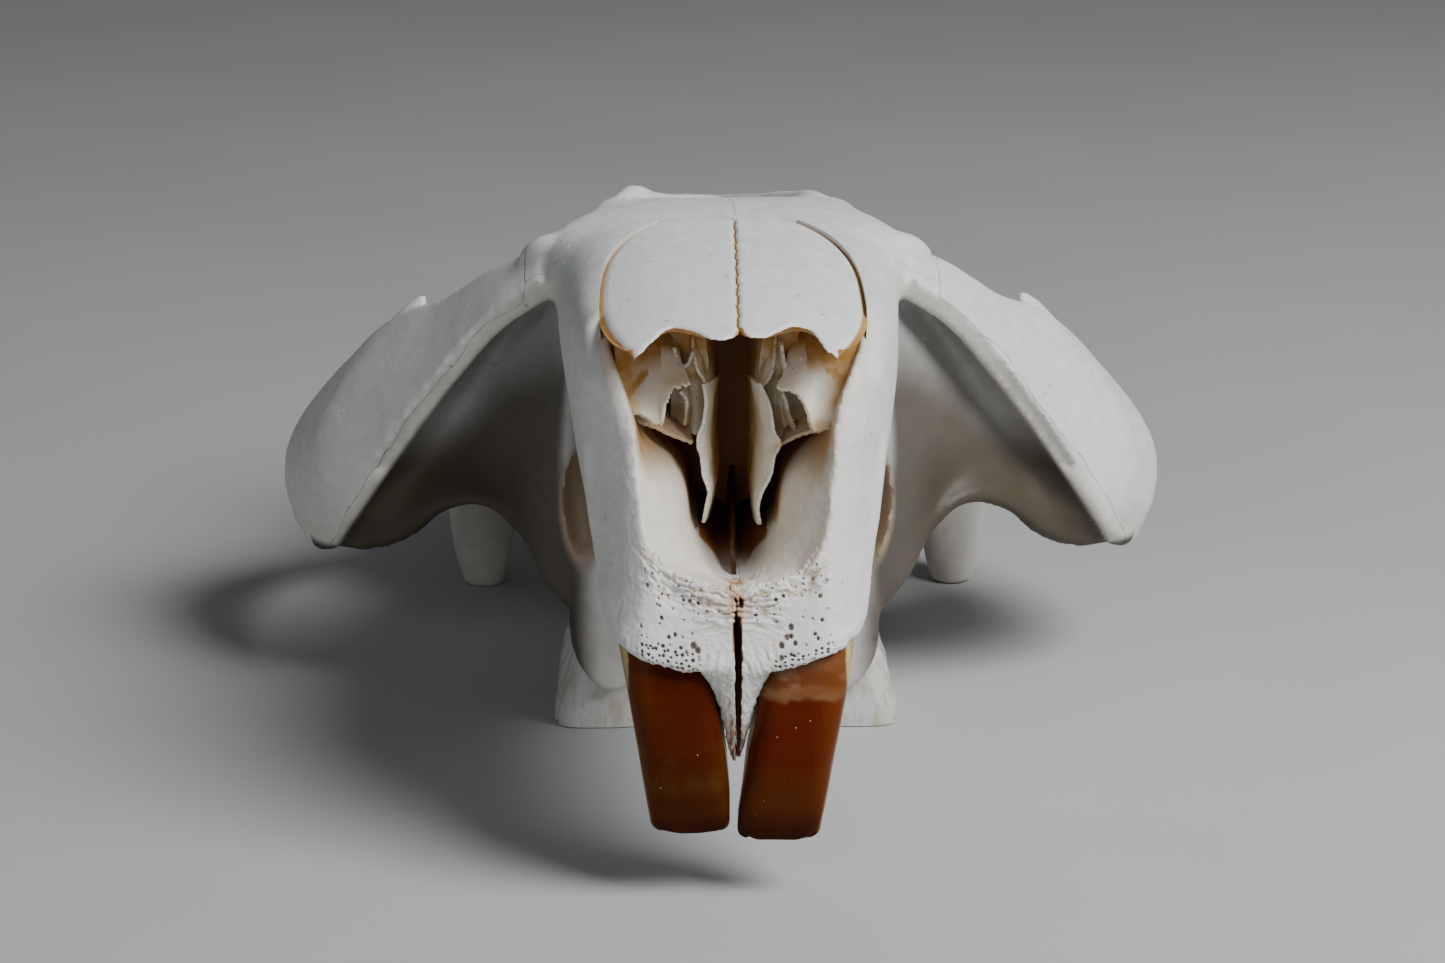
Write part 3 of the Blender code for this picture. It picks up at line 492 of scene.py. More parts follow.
# The crest where the front of the cheek turns into the side of the arch, top to bottom
CREST = ((18.6, 52, 49.2), (25, 56, 44), (32.8, 61, 33.7), (37.6, 64.5, 26.4), (41.2, 67.2, 20.8),
    (43, 70.5, 17.6))
# The inner edge of the cheek plate, down the side of the snout, and its arched lower edge
PLATE_INNER = ((15, 50.5, 49), (15.6, 49, 42), (16, 48.6, 34), (16, 49.6, 26), (15, 52, 18), (13.5, 53, 11))
PLATE_LOWER = ((13.5, 53, 11), (18.6, 53.5, 16.8), (21.4, 55.5, 21.6), (25.6, 58, 24.6), (30.6, 61.8, 23),
    (35, 65.5, 19), (39, 68, 17.2), (43, 70.5, 17))
# Lower and upper edges of the arch, from the tear bone back to the root behind the eye
ARCH_LOWER = CREST + ((45.4, 77, 15.5), (46.3, 86, 15.8), (44.6, 94, 18), (40, 101, 20.4))
ARCH_UPPER = ((18.8, 57, 51.4), (24, 62.5, 48), (29.6, 69, 43.4), (33.8, 74.6, 40.8), (37.4, 79.2, 37.8),
    (40.8, 84.5, 33.6), (42.8, 91, 30), (42, 97, 27.6), (38.5, 101.5, 26))
PLATE_HOLLOW = 8.6
PLATE_SKEW = 1.7
PLATE_STEEPNESS = 0.75
PLATE_THICKNESS = 1.9
PLATE_EDGE_SIZES = (0.8, 0.85, 0.85, 0.85, 0.85, 0.9, 1.0, 1.2)
ARCH_BOW = 3.9
ARCH_THICKNESS = 2.8
RIM_SIZES = (1.2, 1.5, 1.7, 1.7, 1.6, 1.5, 1.4)
BROW_SIZES = (1.4, 1.4, 1.3, 1.3, 1.3, 1.3, 1.2, 1.2, 1.2)
# Middle of the recess below the eye, seen from the front
RECESS_X = 15.2
RECESS_Z = 25.8
UPRIGHT = (0, 0, 1)
LENGTHWISE = (0, 1, 0)

# Forms of the right half, as form() takes them: limbs have widths and heights, balls have radii
ARCH_FORMS = (
    ("rim", ARCH_LOWER[3:], RIM_SIZES, RIM_SIZES),
    ("brow", ARCH_UPPER, BROW_SIZES, BROW_SIZES),
    ("spur", ((34.9, 76.6, 39.2), (34.1, 76.2, 41.3), (32.9, 75.4, 43.2)), (2.4, 1.5, 0.5), (1.5, 1, 0.4),
     LENGTHWISE),
    ("tear_bone", ((14.5, 54, 53.2), (18.6, 56.4, 52.2), (20.8, 58.8, 50.8)), (2, 2.2, 1.6), (1.4, 1.8, 1.3)),
)
HALF_FORMS = (
    # Wall of the canal below the eye, behind its recess
    ("canal", (RECESS_X, 54.6, RECESS_Z), (3.4, 4.4, 8.8)),
    # Bone over the tooth roots, which also floors the orbit
    ("alveolar", ((12.4, 51.4, 12.6), (12.8, 58, 13), (13.2, 68, 13.4), (13.8, 78, 14), (13.6, 86.5, 15.5)),
     (4, 4, 4.4, 4.4, 3.2), (8, 9.2, 9.2, 8.6, 6), UPRIGHT, 24),
    ("alveolar_edge", ((12.6, 53.2, 8.6), (12.9, 58, 8.4), (13.3, 66, 8.6), (13.6, 74, 9), (13.6, 82, 9.8)),
     (3.4, 3.8, 3.9, 3.8, 3.4), (3.4, 3.6, 3.6, 3.6, 3.4)),
    # Root of the arch on the side of the braincase, and the roof of the jaw joint
    ("root", ((17, 104, 28), (27, 104.5, 27), (35, 103, 24.6), (40.4, 99.5, 23), (43.6, 94.5, 22)),
     (8, 5, 3.4, 2.2, 1.4), (5, 3.4, 3.4, 3.6, 3.2)),
    ("joint_roof", ((19, 92, 27), (26, 96, 25.5), (31, 101, 24.5)), (4, 4, 3), (2.6, 2.2, 2)),
    # Crest round the back of the head, and the mastoid and jugular processes below it
    ("nape", ((0, 121.6, 43.8), (10, 121.6, 42), (19, 120.4, 37), (25.5, 118, 29.5), (28.6, 115, 21),
              (29.6, 112.6, 12)), (1.6, 1.7, 1.9, 2.1, 2.5, 3), (1.9, 1.9, 2, 2.2, 2.6, 3.2), LENGTHWISE),
    ("mastoid", ((25, 114, 23), (27.4, 113, 15), (28.4, 111.4, 8), (28.4, 110.4, 2.6), (28.2, 110, -0.8)),
     (6.4, 5.2, 4.2, 3.2, 2.2), (5.4, 4.4, 3.6, 3, 2.2), LENGTHWISE),
    ("nape_wing", ((20, 119, 26), (24, 117, 18), (27, 114, 10)), (5, 5, 3), (4, 3.4, 2.4), LENGTHWISE),
    # Condyles beside the great hole
    ("condyle", (8.2, 128, 19.4), (3.9, 5, 7), (-24, 16, 18)),
    # Plates that hang behind the palate
    ("pterygoid", ((7.6, 84, 12.5), (7.4, 89, 9.6), (7.6, 93.5, 7.2), (8.4, 96.6, 5.2)), (2, 1.1, 1, 0.7),
     (5, 4.6, 3.4, 1.4)),
    ("outer_pterygoid", ((12.6, 84, 14.5), (12.4, 89, 13.5), (12, 95, 12.5)), (1.8, 1.2, 1.4), (4.6, 4, 4)),
)
MIDDLE_FORMS = (
    ("incisor_wedge", ((0, 3.5, 28), (0, 3.3, 23.6), (0, 3.5, 21), (0, 3.8, 18), (0, 4.2, 13.4)),
     (5.4, 4.3, 2.7, 1.7, 0.5), (3.7, 3.6, 3.3, 2.8, 1.5), LENGTHWISE),
    # Ridge on the lower midline behind the palate
    ("base", ((0, 84, 15), (0, 96, 13.2), (0, 110, 11.2), (0, 122, 11.4)), (4, 3.6, 6, 7), (3.4, 3, 3, 3.4)),
)


def cheek_plate(side):
    """The plate that faces forward beside the snout, hollow, with its lower edge arched."""
    lower = even_path(PLATE_LOWER, 60)
    straight = Vector(PLATE_LOWER[0]), Vector(PLATE_LOWER[-1])

    def bow(u, v):
        spot = lower[round(u * 59)] - straight[0].lerp(straight[1], u)
        pull = v ** 3
        # Steeper towards the top, where the plate is narrow
        steepness = PLATE_STEEPNESS * (0.6 + 0.8 * min(0.5, v))
        across = abs(math.sin(math.pi * u ** PLATE_SKEW)) ** steepness
        hollow = PLATE_HOLLOW * across * (1 - pull) * min(1.0, 4.0 * v + 0.5)
        return (side * spot.x * pull, hollow + spot.y * pull, spot.z * pull)
    plate = sheet("plate", mirrored(PLATE_INNER, side), mirrored(CREST, side), bow, PLATE_THICKNESS, 20, 36)
    return [plate, form(side, "plate_edge", PLATE_LOWER, PLATE_EDGE_SIZES, PLATE_EDGE_SIZES)]


def arch(side):
    """The side wall of the arch, bowed outward, from the tear bone to the squamosal root."""
    def bow(u, v):
        rise = max(0.0, min(1.0, (v - 0.12) / 0.42))
        fall = max(0.0, min(1.0, (1.0 - v) / 0.25))
        wave = math.sin(math.pi * u ** 0.75) * rise ** 1.6 * fall
        return (side * ARCH_BOW * wave * 0.92, 0, ARCH_BOW * wave * 0.3)
    wall = sheet("arch", mirrored(ARCH_LOWER, side), mirrored(ARCH_UPPER, side), bow, ARCH_THICKNESS, 18, 60)
    return [wall] + forms(side, ARCH_FORMS)


def brow_ridge(side_name, side):
    """The brow bump and the ridge that runs back from it to the crest of the head."""
    bump = BROW_Z[side_name]
    path = ((12.2, 67, bump - 1), (10, ORBIT_Y, bump), (8, 84, 52.2), (4, 98, 49.2), (1, 110, 46.8),
            (0.5, 120, 44.6))
    return form(side, "ridge", path, (0.8, 1.5, 1.3, 1.2, 1.2, 1), (0.6, 1.2, 1, 1, 1, 0.8))


# Openings

FRONT_ROUNDING = 5.0
# Half-width of the flat part by height: widest at the opening of the nose
FRONT_FLAT = ((26.0, 8.4), (29.5, 7.4), (38.0, 7.6), (43.0, 8.4), (54.0, 12.4))
FRONT_ROUNDING_WIDTH = 4.6
FRONT_ROUNDING_LIMIT = 9.0
FRONT_PROFILE = ((-9, 8), (-1.2, 8), (-0.6, 18), (-0.4, 24), (1, 27.5), (1.9, 31), (3.4, 34), (5.4, 39),
    (7.2, 44), (10, 48.6), (13.6, 51.6), (17.4, 53.4), (20, 62), (-9, 62))

CAVITY = (
    (-8, ((0, 60), (13.4, 60), (13.2, 54.4), (11.4, 50.2), (9.9, 46.2), (9.7, 41.5), (9.2, 37.6),
     (7.8, 34.4), (3.8, 32.2), (0, 31.5))),
    (4, ((0, 60), (13.4, 60), (13.2, 54.4), (11.4, 50.2), (9.8, 46.2), (9.6, 41.5), (9.1, 37.4), (7.5, 34),
     (3.6, 31.6), (0, 30.8))),
    (9, ((0, 60), (13.2, 60), (12.8, 54.4), (11, 50), (9.6, 46), (8.9, 42), (7, 38), (5, 33.6), (2.2, 30.4),
     (0, 29.4))),
    (15, ((0, 53.6), (9, 53.6), (12, 52.6), (11.2, 49.6), (9.9, 46.2), (8.4, 42.8), (5, 38.6), (3.9, 33.4),
     (2.2, 29.9), (0, 29))),
    (24, ((0, 53.6), (8.6, 53.6), (11.2, 52.2), (11, 49.4), (10.2, 46.2), (8.4, 43), (5, 39), (3.8, 33.6),
     (2.1, 30.6), (0, 29.8))),
    (34, ((0, 53.8), (8, 53.6), (10.8, 51.6), (10.8, 48.8), (10.2, 45.8), (8.2, 43), (4.9, 39.4),
     (3.6, 34.2), (2, 31.2), (0, 30.4))),
    (44, ((0, 50), (5, 49.8), (7, 48.4), (7.2, 46.6), (6.6, 44.4), (5.2, 42.2), (4, 40), (2.6, 37),
     (1.4, 35.2), (0, 34.6))),
)

HALF_OPENINGS = (
    # Recess of the canal below the eye, beside the snout
    ("infraorbital", (RECESS_X, 49.4, RECESS_Z), (1.9, 4.6, 6.4), (0, 4, -8)),
    # Slits in the roof of the mouth behind the incisors, and the pits of the palate
    ("incisive", (1.7, 26, 23.4), (1, 7.6, 3.2), (0, 6, 0)),
    ("palate_pit", (4.6, 79.5, 8.6), (0.9, 1.6, 2.6)),
    # Holes in the back wall of the orbit, and the notch in front of the jaw joint
    ("optic", (13.2, 82, 31.5), (3.4, 1.7, 1.6)),
    ("rear_orbit", (13.8, 88, 20.5), (3.6, 2.6, 2.6)),
    # Small holes beside the condyles, and the torn holes behind the ear capsules
    ("hypoglossal", (8.6, 118.6, 11.6), (0.9, 1.2, 2.6)),
    ("jugular", (15.4, 112, 10.4), (1.8, 2.6, 3.2), (0, 0, 30)),
)
MIDDLE_OPENINGS = (
    ("great_hole", (0, 128, 26.6), (8.2, 26, 6.6)),
    ("base_pit", (0, 108.5, 6.4), (4.2, 6.5, 5.4)),
    ("throat", (0, 92, 9.4), (5, 9, 4.4)),
    ("rear_nostrils", ((0, 90, 11), (0, 84, 14), (0, 74, 18)), (4.2, 3.6, 1.6), (3, 3, 1.6)),
)


def front_cutter():
    """The space in front of the snout, whose front is rounded back towards its sides."""
    reach, stations = 21.0, 29
    rings = []
    for i in range(stations):
        x = reach * (2 * i / (stations - 1) - 1)
        ring = []
        for y, z in FRONT_PROFILE:
            beyond = max(0.0, abs(x) - float(lookup(FRONT_FLAT, z)))
            back = min(FRONT_ROUNDING_LIMIT, FRONT_ROUNDING * (beyond / FRONT_ROUNDING_WIDTH) ** 2)
            ring.append(Vector((x, y + (back if y > -9.0 else 0.0), z)))
        rings.append(ring)
    return loft("front", rings)


# Nasal bones

# How far the front edge of each nasal lies behind its tip, from the midline (0) to its side (1)
NASAL_FRONT = {
    "left": ((0, 3.2), (0.034, 1.84), (0.08, 1.3), (0.149, 1.1), (0.2, 1.15), (0.257, 1.44), (0.32, 2.4),
     (0.385, 3.5), (0.45, 4.6), (0.4875, 5), (0.54, 5.3), (0.586, 5.2), (0.64, 4.5), (0.697, 3.5),
     (0.793, 2.3), (0.87, 1.2), (0.939, 0.6), (1, 0.35)),
    "right": ((0, 4.2), (0.018, 3.6), (0.04, 2.8), (0.07, 2.1), (0.12, 1.7), (0.171, 1.6), (0.225, 1.7),
     (0.278, 2), (0.33, 2.9), (0.387, 4.1), (0.463, 5.3), (0.52, 5.6), (0.57, 5.5), (0.64, 4.9),
     (0.713, 3.5), (0.77, 2.2), (0.819, 1.4), (0.89, 0.6), (0.968, 0.33), (1, 0.4)),
}


def midline(y):
    """The suture between the two sides runs a little to the right of the middle, more so at the back."""
    return 0.22 + 0.5 * float(np.interp(y, (4.0, 46.0), (0.0, 1.0)))


def nasal_share(y):
    """How far along the nasals a place is, from 0 at their tips to 1 at their rear."""
    return np.clip((y - NASAL_TIP_Y) / NASAL_LENGTH, 0.0, 1.0) ** 0.8


def nasal_half(t):
    """Half the width of both nasals together, at t from the front end to the rear."""
    if t <= 0.5:
        return NASAL_HALF * (0.745 + 0.255 * math.sin(min(1.0, t / 0.46) * math.pi / 2))
    return NASAL_HALF * math.sqrt(max(0.0, 1 - ((t - 0.5) / 0.56) ** 3.2))


def nasal(side_name, side, margin=0.0):
    """A nasal bone: a long plate, arched across, whose wavy front edge overhangs the opening.

    With a margin it is the seat cut for it: wider and deeper, and open at the top and front.
    """
    rings = []
    stations, across = (40, 24) if margin else (100, 56)
    for i in range(stations):
        along = (i / (stations - 1)) ** (1.25 if margin else 1.8)
        upper, lower = [], []
        for k in range(across):
            s = k / (across - 1)
            wave = float(lookup(NASAL_FRONT[side_name], s))
            wave += 0.0 if margin else 0.07 * math.sin(41 * s + side) + 0.05 * math.sin(97 * s)
            y = NASAL_TIP_Y + wave * (1 - along) + NASAL_LENGTH * along
            t = float(nasal_share(y))
            widest = nasal_half(t)
            wander = 0.06 * math.sin(y * 1.3) + 0.05 * math.sin(y * 3.1)
            inner = HAIRLINE + side * (midline(y) + wander) - margin
            x = inner + (widest + margin - inner) * s
            top = DORSAL_TIP_Z + 2.2 * t + 0.7 * math.sin(math.pi * t)
            top -= (2.6 - 1.2 * t) * (abs(x) / NASAL_HALF) ** 2.6
            thick = 0.95 + 1.7 * min(1.0, t / 0.4)
            if margin:
                upper.append((x, y, top + 5.0))
                lower.append((x, y, top - thick * (1 - 0.4 * s ** 3) - margin))
                continue
            # Thin front edge, rounded side edges, and a groove along the midline
            behind = y - NASAL_TIP_Y - wave
            thick -= 0.72 * max(0.0, 1 - behind / 4.5)
            tuck = 1.1 * max(0.0, 1 - behind / 5.0)
            lip = 0.24 * (1 - math.sqrt(max(0.0, 1 - max(0.0, 1 - behind / 0.8) ** 2)))
            lip += 0.3 * max(0.0, 1 - (widest - x) / 0.6) ** 2
            lip += 0.24 * max(0.0, 1 - (x - inner) / 0.45) ** 2
            x -= (0.24 - 0.2 * min(1.0, t / 0.5)) * s
            upper.append((x, y, top - lip))
            lower.append((x + 0.45 * s ** 8, y + tuck, top - thick * (1 - 0.7 * s ** 3) + lip * 0.5))
        rings.append([Vector((side * x, y, z)) for x, y, z in upper + lower[::-1]])
    if margin:
        for p in rings[0]:
            p.y = -8.0
        for p in rings[-1]:
            p.y += margin
    return loft("nasal", rings)


def bulla(side, margin=0.0):
    """The ear capsule under the braincase with the bony tube that rises from it."""
    def grown(*sizes):
        return [size + margin for size in sizes]
    capsule = form(side, "bulla", (14.6, 99.5, 10.4), grown(7.4, 10.2, 7.4), (0, 0, -24))
    tube = form(side, "ear_tube", ((18, 102, 13), (24, 104.6, 19), (30.4, 106, 24.8)), grown(4.6, 3.8, 3.6),
                grown(4.8, 4.0, 3.8))
    boolean(capsule, [tube], "UNION")
    if not margin:
        path = ((33, 106.6, 27.2), (27, 105.2, 21.6), (23, 104.2, 18))
        hole = form(side, "ear_hole", path, (2.6, 2.3, 1.4), (2.8, 2.5, 1.4))
        boolean(capsule, [hole], "DIFFERENCE")
        soften(capsule, CAPSULE_VOXEL, CAPSULE_SMOOTH_STEPS)
    return capsule


# Teeth

def incisor(side_name, side, margin=0.0):
    """A curved incisor, with a bevelled tip and a root that sits in its socket."""
    tip = INCISOR_TIP_Z[side_name]
    rings = []
    count, sides = (12, 20) if margin else (130, 72)
    droop = 0.8 if side > 0 else 0.4
    for i in range(count):
        t = (i / (count - 1)) ** (1.0 if margin else 1.6)
        z = tip + (INCISOR_ROOT_Z - tip) * t - margin * (1 - t) + margin * t
        front = INCISOR_ARC_Y - math.sqrt(INCISOR_ARC_RADIUS ** 2 - (z - INCISOR_ARC_Z) ** 2)
        depth = min(INCISOR_DEPTH, 1.3 + max(0.0, z - tip) * 0.85)
        outer = float(lookup(INCISOR_OUTER[side_name], z))
        inner = float(lookup(INCISOR_INNER[side_name], z))
        near_tip = max(0.0, 1.0 - (z - tip) / INCISOR_ROUNDING)
        rounding = INCISOR_ROUNDING * (1.0 - math.sqrt(max(0.0, 1.0 - near_tip ** 2)))
        centre, half = (outer + inner) / 2, (outer - inner) / 2 - rounding + margin
        worn = 0.0 if margin else max(0.0, 1.0 - (z - tip) / 3.0)
        ring = []
        for k in range(sides):
            a = 2 * math.pi * (k + 0.5) / sides
            c, s = math.cos(a), math.sin(a)
            x = centre + half * math.copysign(abs(c) ** 0.5, c)
            y = front + depth / 2 - (depth / 2 + margin) * math.copysign(abs(s) ** 0.7, s)
            # The worn edge: the enamel stands a little lower at the front than at its corners
            drop = worn * (droop * abs(c) ** 2.6 + 0.05 * math.sin(7 * c + 2 * side)) if s > 0 else 0.0
            ring.append(Vector((side * x, y, z + drop)))
        rings.append(ring)
    return loft("incisor", rings)


def tooth_outline(width, length, margin, points):
    """The folded outline of a cheek tooth about its middle."""
    outline = []
    for k in range(points):
        a = 2 * math.pi * k / points
        c, s = math.cos(a), math.sin(a)
        rx = width / 2 * abs(c) ** 0.55 + margin
        y = math.copysign((length / 2 - TOOTH_GAP / 2) * abs(s) ** 0.55 + margin, s)
        fold = 0.0
        if not margin:
            # One fold on the inner side, three on the outer side
            depth, spots = (1.1, (0.1,)) if c < 0 else (0.75, (-0.5, 0.02, 0.52))
            for spot in spots:
                fold += depth * math.exp(-((y / (length / 2) - spot) / 0.11) ** 2)
        outline.append((math.copysign(max(rx - fold, 0), c), y))
    return outline


def cheek_teeth(side, margin=0.0):
    """The four cheek teeth of one side: prisms with a folded outline and a worn face."""
    teeth = []
    y = TOOTH_ROW_FRONT_Y
    total = sum(length for _, length, _ in CHEEK_TEETH)
    # Height, size and how far the ring leans in, from the worn face to the root
    stations = [(-margin, 1.0, 0.0)]
    if not margin:
        stations = [(0.0, 0.2 + 0.8 * k / 16, 0.0) for k in range(16)]
        stations += [(0.12, 1.0, 0.0), (0.5, 1.0, 0.0), (1.2, 0.995, 0.0)]
    stations += [(2.0, 0.98, 0.0), (ALVEOLUS_Z, 0.86, 0.5), (ALVEOLUS_Z + TOOTH_ROOT, 0.62, 0.9)]
    for name, length, width in CHEEK_TEETH:
        middle = y + length / 2
        centre = TOOTH_ROW_INNER_FRONT + TOOTH_ROW_SPREAD * (middle - TOOTH_ROW_FRONT_Y) / total + width / 2
        outline = tooth_outline(width, length, margin, 24 if margin else 120)
        tooth = loft(name, [
            [Vector((side * (centre - lean + a * grow), middle + b * grow, z)) for a, b in outline]
            for z, grow, lean in stations])
        if not margin:
            wear_face(tooth.data, side * centre, middle, width, length, side)
        teeth.append((name, tooth))
        y += length
    return teeth


def wear_face(mesh, centre, middle, width, length, side):
    """Sinks the dentine between the enamel ridges on a tooth's worn face, and marks the enamel."""
    points = points_of(mesh)
    u = side * (points[:, 0] - centre) / (width / 2)
    v = (points[:, 1] - middle) / (length / 2)
    enamel = ease(0.84, 0.93, np.maximum(np.abs(u), np.abs(v)))
    for spot, bend, start, end in ((-0.5, 0.16, -0.5, 1.0), (0.02, 0.14, -0.45, 1.0), (0.52, 0.1, -0.4, 1.0),
                                   (0.1, -0.1, -1.0, 0.1)):
        away = np.abs(v - spot - bend * np.sin(2.2 * (u - 0.2)))
        within = band(start - 0.1, start + 0.05, end - 0.05, end + 0.1, u)
        enamel = np.maximum(enamel, within * fade(0.05, 0.13, np.abs(away - 0.09)))
    flat = points[:, 2] < 0.06
    points[flat, 2] += 0.34 * (1 - enamel[flat])
    set_points(mesh, points)
    add_mark(mesh, "enamel", np.where(flat, enamel, 1.0))


# Thin bones in the nose

def flake(name, rows, thickness, ragged, seed, steps=9):
    """A thin curved sheet lofted through rows of points, the first of them its broken edge."""
    curves = [smooth_path(row, steps) for row in rows]
    columns = [smooth_path([curve[k] for curve in curves], steps) for k in range(len(curves[0]))]
    across, along = len(columns), len(columns[0])
    random = np.random.default_rng(seed)
    bite = np.cumsum(random.normal(0, 1, across))
    bite = (bite - np.linspace(bite[0], bite[-1], across)) / (np.std(bite) + 1e-6)
    jag = random.uniform(-1, 1, across)
    grid = []
    for k, column in enumerate(columns):
        back = (column[1] - column[0]).normalized() * (ragged * (0.35 * bite[k] + 0.55 * jag[k]))
        grid.append([p + back * max(0.0, 1 - i / (along * 0.4)) for i, p in enumerate(column)])
    obj = skin(name, grid)
    points = points_of(obj.data)
    relief = 0.12 * grain(points, 1.6, seed + 7) + 0.04 * grain(points, 0.5, seed + 9)
    set_points(obj.data, points + normals_of(obj.data) * relief[:, None])
    return thicken(obj, thickness)


